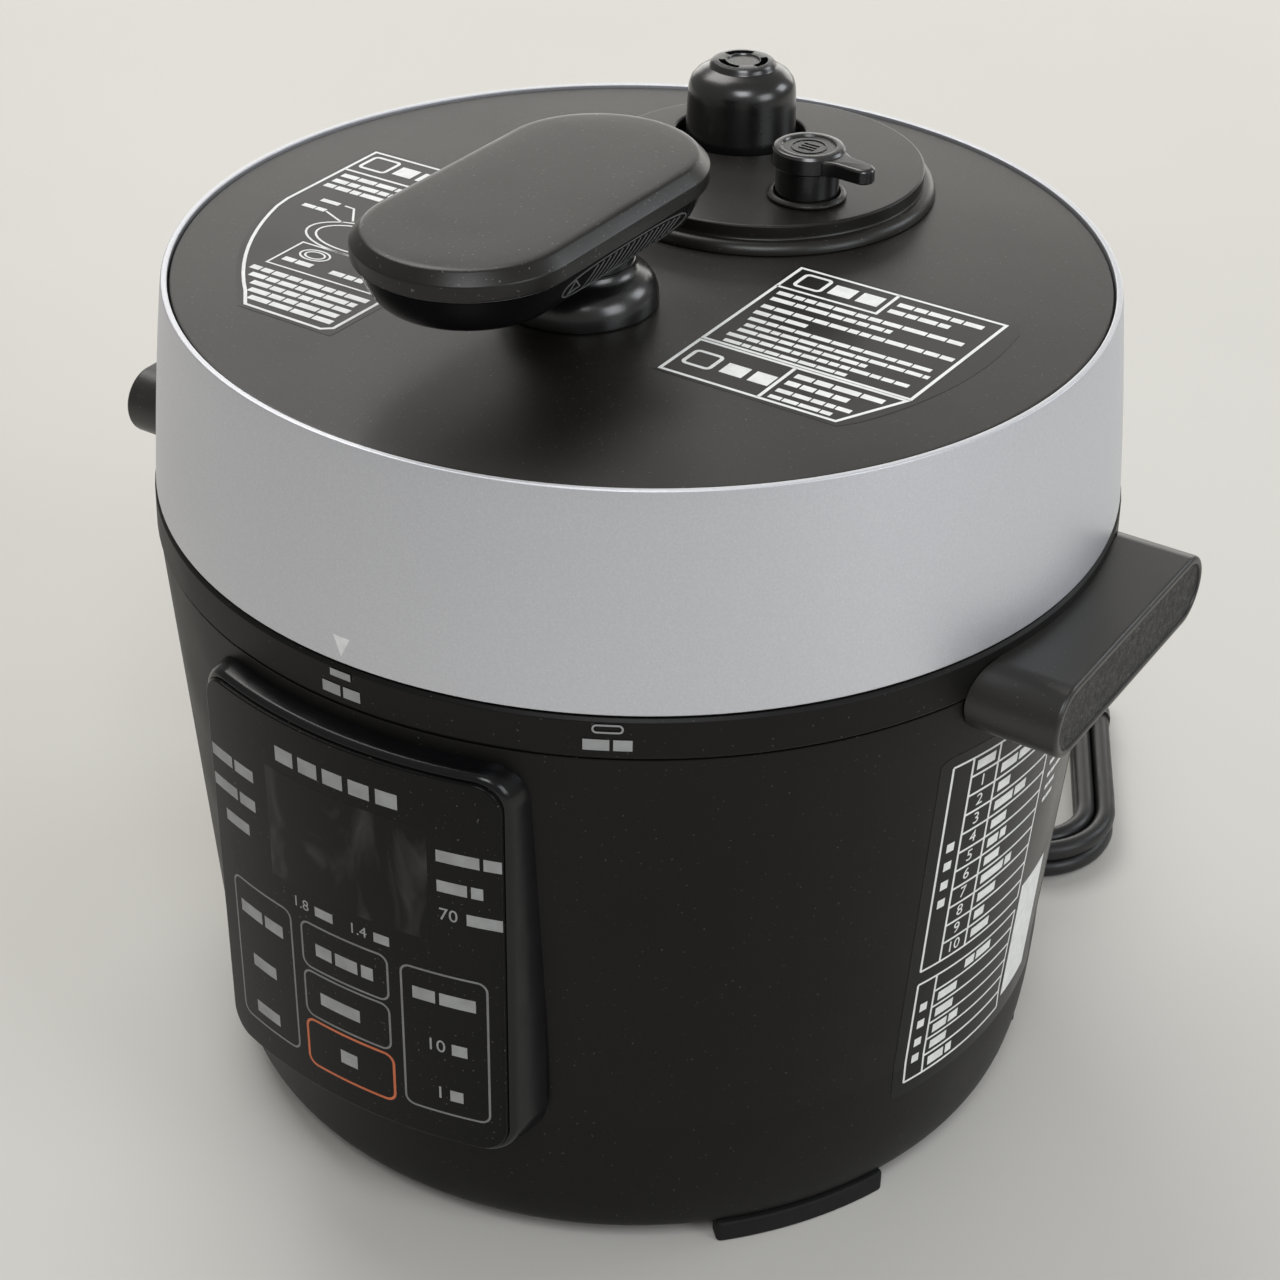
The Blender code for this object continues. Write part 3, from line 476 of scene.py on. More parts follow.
def ridge(work, path, width, place, rise=PRINT_RISE, closed=False, sink=0.05):
    """A flat bar along a path on a surface. place(u, v, height) gives a point of the surface."""
    points = subdivided(path, closed)
    count = len(points)
    rings = []
    for i, (u, v) in enumerate(points):
        before = Vector(points[i]) - Vector(points[i - 1]) if closed or i else None
        after = Vector(points[(i + 1) % count]) - Vector(points[i]) if closed or i < count - 1 else None
        first = (before or after).normalized()
        second = (after or before).normalized()
        along = (first + second).normalized()
        side = Vector((-along.y, along.x))
        half = width / 2 / max(0.35, math.sqrt(max(0.0, (1 + first.dot(second)) / 2)))
        rings.append([place(u + s * side.x * half, v + s * side.y * half, h)
                      for s, h in ((1, -sink), (-1, -sink), (-1, rise), (1, rise))])
    stack(work, rings, closed=closed)


def frame_path(left, bottom, right, top, corner, steps=5):
    middle = ((left + right) / 2, (bottom + top) / 2)
    return [(x + middle[0], y + middle[1])
            for x, y in rounded_box((right - left) / 2, (top - bottom) / 2, corner, steps)]


def words(work, left, right, height, v, place, shuffle, rise=PRINT_RISE, gap=0.3):
    """A line of plain bars in place of a line of print."""
    u = left
    while u < right - height * 0.8:
        length = min(height * shuffle.uniform(1.3, 3.4), right - u)
        ridge(work, [(u, v), (u + length, v)], height, place, rise)
        u += length + height * gap


def numerals(work, text, u, v, size, place, rise=PRINT_RISE):
    """Plain digits, centred on u and v."""
    letters = bpy.data.curves.new("digits", "FONT")
    letters.body = text
    letters.size = size
    letters.align_x = letters.align_y = "CENTER"
    letters.extrude = 0.05
    letters.resolution_u = 3
    shape = placed("digits", letters)
    graph = bpy.context.evaluated_depsgraph_get()
    mesh = bpy.data.meshes.new_from_object(shape.evaluated_get(graph))
    bpy.data.objects.remove(shape, do_unlink=True)
    for vert in mesh.vertices:
        x, y, z = vert.co
        vert.co = place(u + x, v + y, rise if z > 0 else -0.04)
    work.from_mesh(mesh)
    bpy.data.meshes.remove(mesh)


def bars(work, ends, width, place, rise=PRINT_RISE):
    """Level bars, each from its left end to its right end at a height."""
    for left, right, v in ends:
        ridge(work, [(left, v), (right, v)], width, place, rise)


# ---- surfaces that carry print

WAIST_Z, WAIST_R, BASE_R = 48.0, 121.4, 116.6


def drum_radius(z):
    """The drum's side: a straight taper down to the waist, then an elliptical round."""
    if z >= WAIST_Z:
        return WAIST_R + (SHELL_HIGH_R - WAIST_R) * (z - WAIST_Z) / (SHELL_HIGH - WAIST_Z)
    drop = (WAIST_Z - z) / (WAIST_Z - SHELL_LOW)
    return BASE_R + (WAIST_R - BASE_R) * math.sqrt(max(0.0, 1 - drop ** 2))


def band_radius(z):
    """The lid band's side, a gentle curve between its rims."""
    t = (z - BAND_LOW) / (BAND_HIGH - BAND_LOW)
    return BAND_LOW_R + (BAND_HIGH_R - BAND_LOW_R) * t + 0.35 * math.sin(math.pi * t)


def on_cover(u, v, h):
    return (u, v, COVER_Z + h)


def round_side(radius_at, azimuth):
    """Places u along the arc from an azimuth, v up the axis, on a turned side."""
    def place(u, v, h):
        radius = radius_at(v)
        angle = math.radians(azimuth) + u / radius
        return ((radius + h) * math.cos(angle), (radius + h) * math.sin(angle), v)
    return place


on_film = round_side(lambda z: FILM_R, -90)
on_collar = round_side(lambda z: COLLAR_R, -90)
on_band = round_side(band_radius, -90)


def on_drum(u, v, h):
    """Places u in degrees of azimuth, so that the print's sides stay upright on the taper."""
    x, y = polar(drum_radius(v) + h, u)
    return (x, y, v)


# ---- camera, light and floor

def add_camera():
    azimuth, elevation, roll = (math.radians(angle) for angle in (32.26, 33.03, 1.07))
    camera = bpy.data.cameras.new("camera")
    camera.lens = 72.0
    camera.sensor_width = 36.0
    back = Vector((math.sin(azimuth) * math.cos(elevation), -math.cos(azimuth) * math.cos(elevation),
                   math.sin(elevation)))
    right = Vector((math.cos(azimuth), math.sin(azimuth), 0.0))
    up = back.cross(right)
    across = right * math.cos(roll) + up * math.sin(roll)
    upward = up * math.cos(roll) - right * math.sin(roll)
    facing = Matrix((across, upward, back)).transposed().to_4x4()
    obj = placed("camera", camera)
    obj.matrix_world = Matrix.Translation(Vector((0.3273, -0.5162, 0.5173))) @ facing
    bpy.context.scene.camera = obj


def add_light(name, at, aim_z, size, power, colour, height=None):
    """A rectangular light that faces a point on the object's axis."""
    light = bpy.data.lights.new(name, "AREA")
    light.shape = "RECTANGLE"
    light.size = size
    light.size_y = height or size
    light.energy = power
    light.color = colour
    obj = placed(name, light)
    obj.location = at
    obj.rotation_mode = "QUATERNION"
    obj.rotation_quaternion = (Vector((0, 0, aim_z)) - Vector(at)).to_track_quat("-Z", "Y")


def add_studio():
    world = bpy.data.worlds.new("studio")
    world.use_nodes = True
    sky = world.node_tree.nodes["Background"]
    sky.inputs["Color"].default_value = (1.0, 0.985, 0.96, 1.0)
    sky.inputs["Strength"].default_value = 0.32
    bpy.context.scene.world = world
    add_light("key", (-0.9, 0.5, 1.7), 0.1, 1.1, 16, (1.0, 0.98, 0.95))
    add_light("back_panel", (-0.9, 1.9, 0.55), 0.25, 2.6, 15, (1.0, 0.985, 0.94), 0.9)
    add_light("front_panel", (0.75, -1.15, 1.9), 0.15, 0.9, 17, (0.95, 0.97, 1.0))
    add_light("side_fill", (1.7, -0.1, 0.9), 0.12, 0.8, 8, (0.92, 0.96, 1.0))
    add_light("back_window", (1.25, 1.5, 1.15), 0.2, 0.7, 7, (0.90, 0.95, 1.0))
    bpy.context.scene.view_settings.view_transform = "Standard"

    work = bmesh.new()
    bmesh.ops.create_grid(work, x_segments=1, y_segments=1, size=6.0)
    mesh = bpy.data.meshes.new("floor")
    work.to_mesh(mesh)
    work.free()
    stone = Finish("floor_surface", (0.60, 0.585, 0.55), 0.6).tone(2.0, (0.64, 0.625, 0.59))
    mesh.materials.append(stone.material)
    placed("floor", mesh)


# ---- the cord

# The lead's and the tail's own points, as the CAD has them, in millimetres
LEAD_ROUTE = [
    (-49.5, 160.9, 14.0), (-48.4, 171.2, 12.8), (-41.6, 183.2, 9.6), (-30.0, 191.2, 6.4),
    (-17.6, 195.4, 4.6), (-6.6, 195.9, 3.8), (1.5, 194.0, 3.4), (7.8, 190.3, 3.3),
]
TAIL_ROUTE = [
    (12.0, 211.8, 8.6), (6.3, 209.7, 7.6), (-2.4, 207.8, 5.8), (-14.0, 206.4, 4.4),
    (-27.0, 206.0, 4.2), (-40.0, 206.0, 4.2), (-49.5, 206.0, 6.0), (-55.6, 206.0, 6.6),
]
HANK_NEAR = (70.7, 132.7)            # centre of the fold nearest the base
HANK_HEADING = math.radians(116.6)   # the hank's long axis, from that fold
HANK_RUN = 64.0                      # straight length between the folds
HANK_OUTER, HANK_INNER = 26.2, 19.5
HANK_LOW, HANK_HIGH = CORD_D / 2 + 0.05, CORD_D * 1.5 + 0.1


def eased(value, start, end):
    """0 before start, 1 after end, smooth between."""
    t = min(1.0, max(0.0, (value - start) / (end - start)))
    return t * t * (3 - 2 * t)


def hank_point(way):
    """A point of the winding. way counts quarter laps: far fold, left run, near fold, right run."""
    radius = HANK_OUTER - (HANK_OUTER - HANK_INNER) * (eased(way, 4.62, 5.44) - eased(way, 12.14, 12.83))
    height = HANK_LOW + (HANK_HIGH - HANK_LOW) * eased(way, 8.28, 8.97)
    quarter, share = int(way) % 4, way - int(way)
    across, out = polar(radius, 180 * share)
    along, aside = ((HANK_RUN + out, -across), (HANK_RUN * (1 - share), radius),
                    (-out, across), (HANK_RUN * share, -radius))[quarter]
    ahead = (math.cos(HANK_HEADING), math.sin(HANK_HEADING))
    return (HANK_NEAR[0] + along * ahead[0] - aside * ahead[1],
            HANK_NEAR[1] + along * ahead[1] + aside * ahead[0], height)


def hank_points(start=1.30, end=16.30):
    """The winding from the lead's side of the left run to the tail's side of the far fold."""
    points = []
    way = start
    while way < end:
        points.append(hank_point(way))
        way += 0.125 if int(way) % 2 == 0 else 0.25
    return points


def smooth_route(route, per_span=8):
    """Points of the Catmull-Rom curve through a route."""
    route = [Vector(point) for point in route]
    padded = [2 * route[0] - route[1]] + route + [2 * route[-1] - route[-2]]
    fine = []
    for i in range(1, len(padded) - 2):
        before, start, end, after = padded[i - 1:i + 3]
        for step in range(per_span):
            t = step / per_span
            fine.append(0.5 * (2 * start + (end - before) * t
                               + (2 * before - 5 * start + 4 * end - after) * t * t
                               + (3 * start - before - 3 * end + after) * t * t * t))
    fine.append(route[-1])
    return fine


def cord_curve(name, points, diameter, finish):
    curve = bpy.data.curves.new(name, "CURVE")
    curve.dimensions = "3D"
    curve.bevel_depth = diameter / 2 * MM
    curve.bevel_resolution = 5
    curve.use_fill_caps = True
    spline = curve.splines.new("POLY")
    spline.points.add(len(points) - 1)
    for point, place in zip(spline.points, points):
        point.co = (*(Vector(place) * MM), 1.0)
    curve.materials.append(finishes[finish].material)
    return placed(name, curve)


def add_strain_relief():
    """The cord's ribbed sleeve, turned about an axis that runs back from the outlet."""
    first, last, middle = low("strain_relief"), high("strain_relief"), centre("strain_relief")
    length = last[1] - first[1]
    outline = [(0.0, 0.1), (6.1, 0.1), (6.2, 0.5), (6.2, 3.0), (5.4, 4.0)]
    grooves = 6
    for number in range(grooves):
        start = 5.0 + number * (length - 7.0) / grooves
        radius = 5.2 - 1.2 * number / grooves
        outline += [(radius, start), (radius - 0.1, start + 1.5), (radius - 0.9, start + 1.7),
                    (radius - 0.9, start + 2.5)]
    outline += [(3.9, length - 0.9), (3.6, length - 0.1), (0.0, length - 0.1)]
    work = turn(bmesh.new(), outline, sides=48)
    for vert in work.verts:
        x, y, z = vert.co
        vert.co = (middle[0] + x, first[1] + z, middle[2] + y)
    return piece("cord_strain_relief", work, "rubber", "base", ("strain_relief",))


def add_plug():
    """A moulded plug that narrows towards its blades, with a finely ribbed grip."""
    first, last, middle = low("plug_body"), high("plug_body"), centre("plug_body")
    steps = 24
    rings = []
    for step in range(steps + 1):
        share = step / steps
        swell = 1.0 - 0.16 * eased(share, 0.35, 0.95) - 0.20 * eased(share, 0.93, 1.0) ** 2
        swell -= 0.06 * (1 - eased(share, 0.0, 0.06))
        if 0.4 < share < 0.85 and step % 2:
            swell -= 0.05
        rings.append([(first[0] + (last[0] - first[0]) * share, middle[1] + a, middle[2] + b)
                      for a, b in rounded_box(10.4 * swell, 6.4 * swell, 3.2 * swell)])
    return piece("mains_plug", stacked(rings), "rubber", "base", ("plug_body",))


def add_blade(number):
    """A flat blade with rounded edges and a narrowed tip."""
    node = f"plug_blade_{number}"
    first, last, (mid_x, y, z) = low(node), high(node), centre(node)
    root, half_height, half_thickness = first[0] + 1.6, 3.1, 0.75
    outline = rounded([(first[0], z - 2.2), (root, z - half_height), (last[0], z - half_height),
                       (last[0], z + half_height), (root, z + half_height), (first[0], z + 2.2)][::-1], 0.5)
    rings = [[(mid_x + (a - mid_x) * (1 - inset / 8.0), y - half_thickness + level,
               z + (b - z) * (1 - inset / half_height)) for a, b in outline]
             for inset, level in cushion_levels(2 * half_thickness, 0.25, 2)]
    return piece(f"mains_blade_{number}", stacked(rings), "brass", "base", (node,))


def add_cord_tie():
    """A flat band round the hank, near its far fold."""
    ahead = Vector((math.cos(HANK_HEADING), math.sin(HANK_HEADING), 0.0))
    aside = Vector((-ahead.y, ahead.x, 0.0))
    half_height = (HANK_HIGH + CORD_D / 2 + 0.7) / 2
    middle = Vector((*HANK_NEAR, half_height)) + ahead * HANK_RUN * 0.85
    half_length = HANK_OUTER + CORD_D / 2 + 0.6
    half_width, thickness = 2.2, 0.55
    rings = []
    for u, v in subdivided(rounded_box(half_length, half_height - 0.05, 3.4), True, 6.0):
        in_u, in_v = u * (1 - thickness / half_length), v * (1 - thickness / half_height)
        rings.append([middle + ahead * along + aside * across + Vector((0, 0, up))
                      for along, across, up in ((-half_width, u, v), (half_width, u, v),
                                                (half_width, in_u, in_v), (-half_width, in_u, in_v))])
    return piece("cord_tie", stacked(rings, closed=True), "satin", "base")


def add_cord():
    add_strain_relief()
    plug = add_plug()
    blades = [add_blade(number) for number in (1, 2)]
    points = [tuple(point) for point in smooth_route(LEAD_ROUTE + hank_points() + TAIL_ROUTE, 3)]
    cord = cord_curve("mains_cord", points, CORD_D, "rubber")
    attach(cord, "base")
    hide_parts("power_cord", "cord_tail", "cord_hank")
    tie = add_cord_tie()


# ---- the base

def add_foot(number, azimuth):
    """An arc-shaped rubber foot with rounded edges."""
    node = f"foot_{number}"
    middle_r, half_r, half_u = 115.5, 3.1, math.radians(12.5) * 115.5
    outline = subdivided(rounded_box(half_u, half_r, 1.4, 4), True, 3.0)
    rings = []
    for inset, z in cushion_levels(high(node)[2], 0.8, 3):
        ring = []
        for u, v in outline:
            angle = math.radians(azimuth) + u * (1 - inset / half_u) / middle_r
            radius = middle_r + v * (1 - inset / half_r)
            ring.append((radius * math.cos(angle), radius * math.sin(angle), z))
        rings.append(ring)
    piece(f"rubber_foot_{number}", stacked(rings), "foot", "base", (node,))


def add_drum():
    count = 24
    heights = [SHELL_HIGH - 0.5, 150, 120, 90, 70, 55]
    heights += [WAIST_Z - (WAIST_Z - SHELL_LOW) * math.sin(math.pi / 2 * step / count)
                for step in range(count + 1)]
    top_r = SHELL_HIGH_R
    outline = [(top_r - 2.3, SHELL_HIGH), (top_r - 0.5, SHELL_HIGH), (top_r - 0.15, SHELL_HIGH - 0.15)]
    outline += [(drum_radius(z), z) for z in heights]
    outline += [(104.0, SHELL_LOW), (104.0, 9.5), (111.0, 9.5)]
    outline += [(drum_radius(z) - 2.5, z) for z in (14, 20, 30, 48, 110)]
    drum = turned("drum_shell", outline, "body", "base", ("outer_shell",))
    carve(drum, [layers(bmesh.new(), [(-40, -140), (40, -140), (40, -100), (-40, -100)], (62, 152))])
    refined("upper_collar", "body", "base", 0.6)
    for number, azimuth in enumerate((-33, 33, 147, 213), 1):
        add_foot(number, azimuth)


def add_side_handle(node, side):
    """A flat grip: round edges along it, a grained inlay in its end, a finger recess beneath."""
    reach = high(node)[0] if side > 0 else -low(node)[0]
    half_length = high(node)[1]
    middle_z = centre(node)[2]
    half_height = high(node)[2] - middle_z

    def ring(inset, x=None):
        points = []
        for z, y in stadium(half_height - inset, half_length - inset):
            out = math.sqrt((COLLAR_R + 0.1) ** 2 - y ** 2) if x is None else x
            points.append((side * out, y, middle_z + z))
        return points

    rings = [ring(0.0), ring(0.0, reach - 1.1)]
    rings += [ring(inset, x) for inset, x in rim(1.1, reach, (22.5, 45, 67.5, 90))]
    rings += [ring(1.7, reach), ring(2.0, reach - 0.15), ring(2.15, reach - 0.5)]
    work = stacked(rings)
    work.faces.ensure_lookup_table()
    work.faces[-1].material_index = 1
    grip = piece(node + "_grip", work, ("handle", "grain"), "base", (node,))

    inner, outer = 132.5, reach - 4.5
    low_z, high_z = middle_z - half_height - 4, middle_z + 4
    rings = []
    for inset, z in ((-1.2, low_z), (-1.2, low_z + 3.2), (-0.4, low_z + 4.2), (0.0, low_z + 5.4),
                     (0.0, high_z - 1.5), (0.5, high_z - 0.4), (1.5, high_z)):
        rings.append([(side * ((inner + outer) / 2 + x), y, z)
                      for x, y in rounded_box((outer - inner) / 2 - inset, 34.0 - inset, 2.6)])
    carve(grip, [stacked(rings)])


def wrapped_plate(levels):
    """The panel's rounded rectangle on the drum's front. levels are (inset, radius) from back to front."""
    middle, half_height = (PANEL_LOW + PANEL_HIGH) / 2, (PANEL_HIGH - PANEL_LOW) / 2
    corner, steps, flat_steps = 9.0, 8, 20
    flat = PANEL_HALF_WIDTH - corner
    bend = [flat + corner * math.cos(math.radians(90 * i / steps)) for i in range(steps + 1)]
    level = [flat - flat * 2 * i / flat_steps for i in range(1, flat_steps)]
    xs = bend + level + [-x for x in reversed(bend)]
    rings = []
    for inset, radius in levels:
        upper, lower = [], []
        for x in xs:
            height = half_height - inset
            if abs(x) > flat:
                over = (abs(x) - flat) * (corner - inset) / corner
                x = math.copysign(flat + over, x)
                height = half_height - corner + math.sqrt(
                    max(0.0, (corner - inset) ** 2 - min(over, corner - inset) ** 2))
            angle = -math.pi / 2 + x / radius
            at = (radius * math.cos(angle), radius * math.sin(angle))
            upper.append((*at, middle + height))
            lower.append((*at, middle - height))
        rings.append(upper + lower[::-1])
    work = bmesh.new()
    made = stack(work, rings, capped=False)
    last = len(made[0]) - 1
    for ring in (made[0], made[-1]):
        for i in range(len(xs) - 1):
            work.faces.new((ring[i], ring[i + 1], ring[last - 1 - i], ring[last - i]))
    bmesh.ops.remove_doubles(work, verts=work.verts, dist=0.0005)
    return work


def add_panel():
    face = FILM_R - 1.2
    levels = [(-1.6, 124.0), (-1.0, 129.0), (-0.2, face - 1.6)] + rim(1.5, face, (20, 40, 60, 80, 90))
    levels += [(1.55, face - 0.5), (1.9, face - 0.6)]
    piece("control_panel_case", wrapped_plate(levels), "case", "base", ("panel_housing",))
    levels = [(1.75, face - 0.45), (1.75, FILM_R - 0.5)] + rim(0.5, FILM_R, (25, 50, 70, 90), 1.75)
    piece("control_panel_film", wrapped_plate(levels), "film", "base", ("panel_film",))
    add_panel_print()


def add_panel_print():
    """Generic outlines, bars and digits where the real panel has its key names."""
    shuffle = random.Random(5)
    work = bmesh.new()
    bars(work, [(-22.2, 26.8, 131.0)], 34.0, on_film, 0.02)
    piece("display_window", work, "window", "base")

    work = bmesh.new()
    for box in ((-39.4, 57.8, -16.6, 104.4), (18.3, 57.6, 41.7, 103.8), (-12.8, 89.6, 14.4, 104.2),
                (-12.8, 73.2, 14.4, 88.2)):
        ridge(work, frame_path(*box, 2.6), 0.6, on_film, PANEL_RISE, closed=True)
    piece("panel_key_outlines", work, "line_ink", "base")

    work = bmesh.new()
    ridge(work, frame_path(-13.0, 56.0, 15.0, 71.6, 2.8), 0.75, on_film, 0.05, closed=True)
    piece("panel_stop_outline", work, "orange_ink", "base")

    work = bmesh.new()
    bars(work, [(u - 3.0, u + 3.0, 153.4) for u in (-14.8, -7.0, 0.8, 8.6, 16.4)], 4.4, on_film, 0.05)
    piece("panel_name_bar", work, "grey_ink", "base")

    work = bmesh.new()
    for left, right, v, height in (
        (-44.8, -27.2, 141.0, 2.7), (-44.8, -27.2, 131.8, 2.7), (-40.4, -27.6, 122.8, 2.7),
        (29.2, 46.0, 140.9, 2.7), (29.2, 41.2, 131.8, 2.7), (36.8, 46.0, 123.1, 2.7),
        (-7.6, -1.8, 109.2, 2.3), (10.8, 17.0, 109.2, 2.3), (-37.0, -20.0, 95.4, 3.0),
        (-33.4, -24.0, 79.2, 3.0), (-33.4, -24.0, 63.2, 3.0), (-8.2, 10.0, 96.4, 3.1),
        (-7.6, 9.4, 80.4, 3.1), (-1.8, 3.6, 64.0, 3.4), (21.4, 38.6, 95.8, 3.0),
        (31.8, 36.0, 79.9, 2.8), (31.0, 34.6, 64.2, 2.8)):
        words(work, left, right, height * 1.28, v, on_film, shuffle, PANEL_RISE)
    for text, u, v, size in (("70", 32.0, 123.1, 5.2), ("1.8", -12.4, 109.2, 4.6), ("1.4", 6.0, 109.2, 4.6),
                             ("10", 27.4, 79.9, 5.6), ("1", 28.2, 64.2, 5.6)):
        numerals(work, text, u, v, size, on_film, PANEL_RISE)
    piece("panel_key_print", work, "grey_ink", "base")


def add_marks():
    """The closed and open marks on the collar, and the pointer on the band."""
    shuffle = random.Random(3)
    work = bmesh.new()
    bars(work, [(-3.0, 3.0, 180.0)], 1.9, on_collar, 0.05)
    words(work, -5.6, 5.6, 3.0, 175.3, on_collar, shuffle, PANEL_RISE)
    place = round_side(lambda z: COLLAR_R, -60.3)
    ridge(work, frame_path(-3.5, 178.7, 3.5, 180.7, 0.95), 0.45, place, 0.05, closed=True)
    words(work, -5.8, 5.8, 3.0, 175.2, place, shuffle, PANEL_RISE)
    piece("collar_marks", work, "grey_ink", "base")
    work = layers(bmesh.new(), [(-2.4, 189.9), (2.4, 189.9), (0.0, 184.8)], (-0.1, 0.06), on_band)
    piece("band_pointer", work, "ink", "lid")


def add_menu_sheet():
    """A thin clear sheet on the drum, with a row of its mesh along the drum's waist."""
    left, right, steps, rows = -21.8, 14.0, 28, 12
    work = bmesh.new()
    grids = []
    for h in (-0.05, 0.05):
        grid = []
        for i in range(steps + 1):
            pull = 1.4 if i in (0, steps) else 0.0
            bottom, top = 36.5 + pull, 153.5 - pull
            heights = [bottom + (WAIST_Z - bottom) * k / 6 for k in range(6)]
            heights += [WAIST_Z + (top - WAIST_Z) * k / 6 for k in range(7)]
            u = left + (right - left) * i / steps
            grid.append([work.verts.new(on_drum(u, v, h)) for v in heights])
        for a, b in zip(grid, grid[1:]):
            for k in range(rows):
                work.faces.new((a[k], b[k], b[k + 1], a[k + 1]))
        grids.append(grid)
    inner, outer = grids
    for i in range(steps):
        for k in (0, rows):
            work.faces.new((inner[i][k], inner[i + 1][k], outer[i + 1][k], outer[i][k]))
    for i in (0, steps):
        for k in range(rows):
            work.faces.new((inner[i][k], inner[i][k + 1], outer[i][k + 1], outer[i][k]))
    piece("menu_sheet", work, "sheet_film", "base")


def ruled(work, top, pitch, rows, columns, right, place):
    """Rules of a table whose first column, 7 mm wide, is one tall cell."""
    for i in range(rows + 1):
        bars(work, [(0.0 if i in (0, rows) else 7.0, right, top - i * pitch)], 0.7, place, MENU_RISE)
    for u in (*columns, right):
        ridge(work, [(u, top - rows * pitch), (u, top)], 0.7, place, MENU_RISE)


def add_menu_print():
    """The ruled table on the drum's right side: plain bars in place of words, and row numbers."""
    add_menu_sheet()
    shuffle = random.Random(11)
    right, top, pitch, low_top, low_pitch = 44.0, 149.8, 6.2, 76.8, 5.95

    def place(u, v, h):
        """u in millimetres along the drum from the table's left edge."""
        return on_drum(-19.8 + u * math.degrees(1 / 125.0), v, h)

    def row(start, lengths, height, v):
        """A line of words whose length is drawn from the given ones."""
        words(work, start, start + shuffle.choice(lengths), height, v, place, shuffle, MENU_RISE)

    work = bmesh.new()
    ruled(work, top, pitch, 11, (0.0, 7.0, 17.0), right, place)
    ruled(work, low_top, low_pitch, 6, (0.0, 7.0), right, place)
    words(work, 8.6, 15.6, 3.0, top - 0.5 * pitch, place, shuffle, MENU_RISE)
    for i in range(1, 11):
        v = top - (i + 0.5) * pitch
        numerals(work, str(i), 11.8, v, 5.2, place, MENU_RISE)
        row(19.0, (6.5, 8.0, 10.5, 14.0), 3.0, v)
    for i in range(6):
        row(9.0 if i else 19.0, (8.0, 10.0, 12.5), 3.0, low_top - (i + 0.5) * low_pitch)
    bars(work, [(2.2, 4.8, v) for v in (122.6, 116.4, 109.9, 103.7, 67.2, 61.0, 54.3, 48.3)], 2.8, place,
         MENU_RISE)
    for i in range(9):
        row(48.0, (8.0, 12.0, 14.0), 1.4, 146.0 - i * 4.2)
    piece("menu_print", work, "ink", "base")

    work = bmesh.new()
    bars(work, [(46.0, 63.0, 64.0)], 40.0, place, 0.14)
    piece("maker_patch", work, "ink", "base")


def add_base_details():
    refined("inner_housing", "steel", "base", 0.6)
    refined("heating_plate", "cast", "base", 0.8)
    refined("inner_pot", "pot", "pot", 0.8)
    refined("temperature_sensor", "cast", "sensor", 0.6, SMALL_SIDES)
    work = turn(bmesh.new(), rounded([(113.0, 199.6), (113.0, 172.6), (94.5, 172.6), (94.5, 175.8),
                                      (109.5, 175.8), (109.5, 199.6)], 0.8))
    for number in range(6):
        sector(work, 60 * number, 110.5, 105.5, 196.6, 199.2)
    piece("bayonet_ring", work, "zinc", "base", ("locking_ring",))

    last, (mid_x, _, mid_z) = high("cord_outlet"), centre("cord_outlet")
    inside, back, edge = 98.0, last[1], 2.2
    levels = [(0.0, inside), (0.0, back - edge)] + rim(edge, back, (22, 45, 68, 90))
    rings = [[(mid_x + x, y, mid_z + z)
              for x, z in rounded_box(last[0] - mid_x - inset, last[2] - mid_z - inset, 4 - inset)]
             for inset, y in levels]
    piece("cord_outlet_boss", stacked(rings), "body", "base", ("cord_outlet",))


# ---- the lid

def add_lid():
    count = 14
    heights = [BAND_HIGH - (BAND_HIGH - BAND_LOW) * i / count for i in range(count + 1)]
    outer = [(band_radius(z), z) for z in heights]
    outer[0] = (BAND_HIGH_R - 0.15, BAND_HIGH)
    outline = outer + [(BAND_LOW_R - 1.8, BAND_LOW)]
    outline += [(radius - 1.75, z) for radius, z in reversed(outer[1:-1])]
    outline += [(BAND_HIGH_R - 1.75, BAND_HIGH - 2), (BAND_HIGH_R - 1.75, BAND_HIGH)]
    turned("silver_band", rounded(outline, 0.45, 4, 30), "silver", "lid", ("lid_band",),
           sides=LID_SIDES)

    under = low("lid_cover")[2]
    radius = high("lid_cover")[0]
    outline = [(0.0, COVER_Z), (radius - 1.2, COVER_Z), (radius - 0.5, COVER_Z - 0.2),
               (radius - 0.15, COVER_Z - 0.7), (radius, COVER_Z - 1.2), (radius, under), (0.0, under)]
    turned("top_cover", outline, "cover", "lid", ("lid_cover",), sides=LID_SIDES)
    add_deck()
    add_stickers()


def flared_bore(radius, bottom, top, flare=0.7):
    """A cutter whose top widens, so that the hole gets a rounded rim."""
    outline = [(0.0, top + 2), (radius + flare, top + 2)]
    outline += [(radius + flare - out, top - flare + up)
                for up, out in (polar(flare, a) for a in (0, 22, 45, 68, 90))]
    return outline + [(radius, bottom), (0.0, bottom)]


def add_deck():
    base, top = low("vent_deck")[2], DECK_Z
    outline = [(0.0, top), (44.5, top), (44.9, top - 0.1), (45.2, top - 0.4), (45.25, top - 0.9),
               (45.0, base + 3.6), (45.1, base + 3.15)]
    outline += arc(45.6, base, 2.95, 96, 0, 10)
    outline += [(43.2, base), (43.2, top - 2.0), (0.0, top - 2.0)]
    deck = turned("deck", outline, "cover", "lid", ("vent_deck",), DECK_AT)
    carve(deck, [turn(bmesh.new(), flared_bore(radius, top - 3.5, top), at, 96)
                 for at, radius in ((WEIGHT_AT, 18.4), (BUTTON_AT, 9.0), (centre("float_pin")[:2], 4.2))])
    refined("button_collar", "cover", "lid", 0.5, SMALL_SIDES)
    add_weight()
    add_button()
    refined("float_pin", "steel", "float", 0.3, 32)


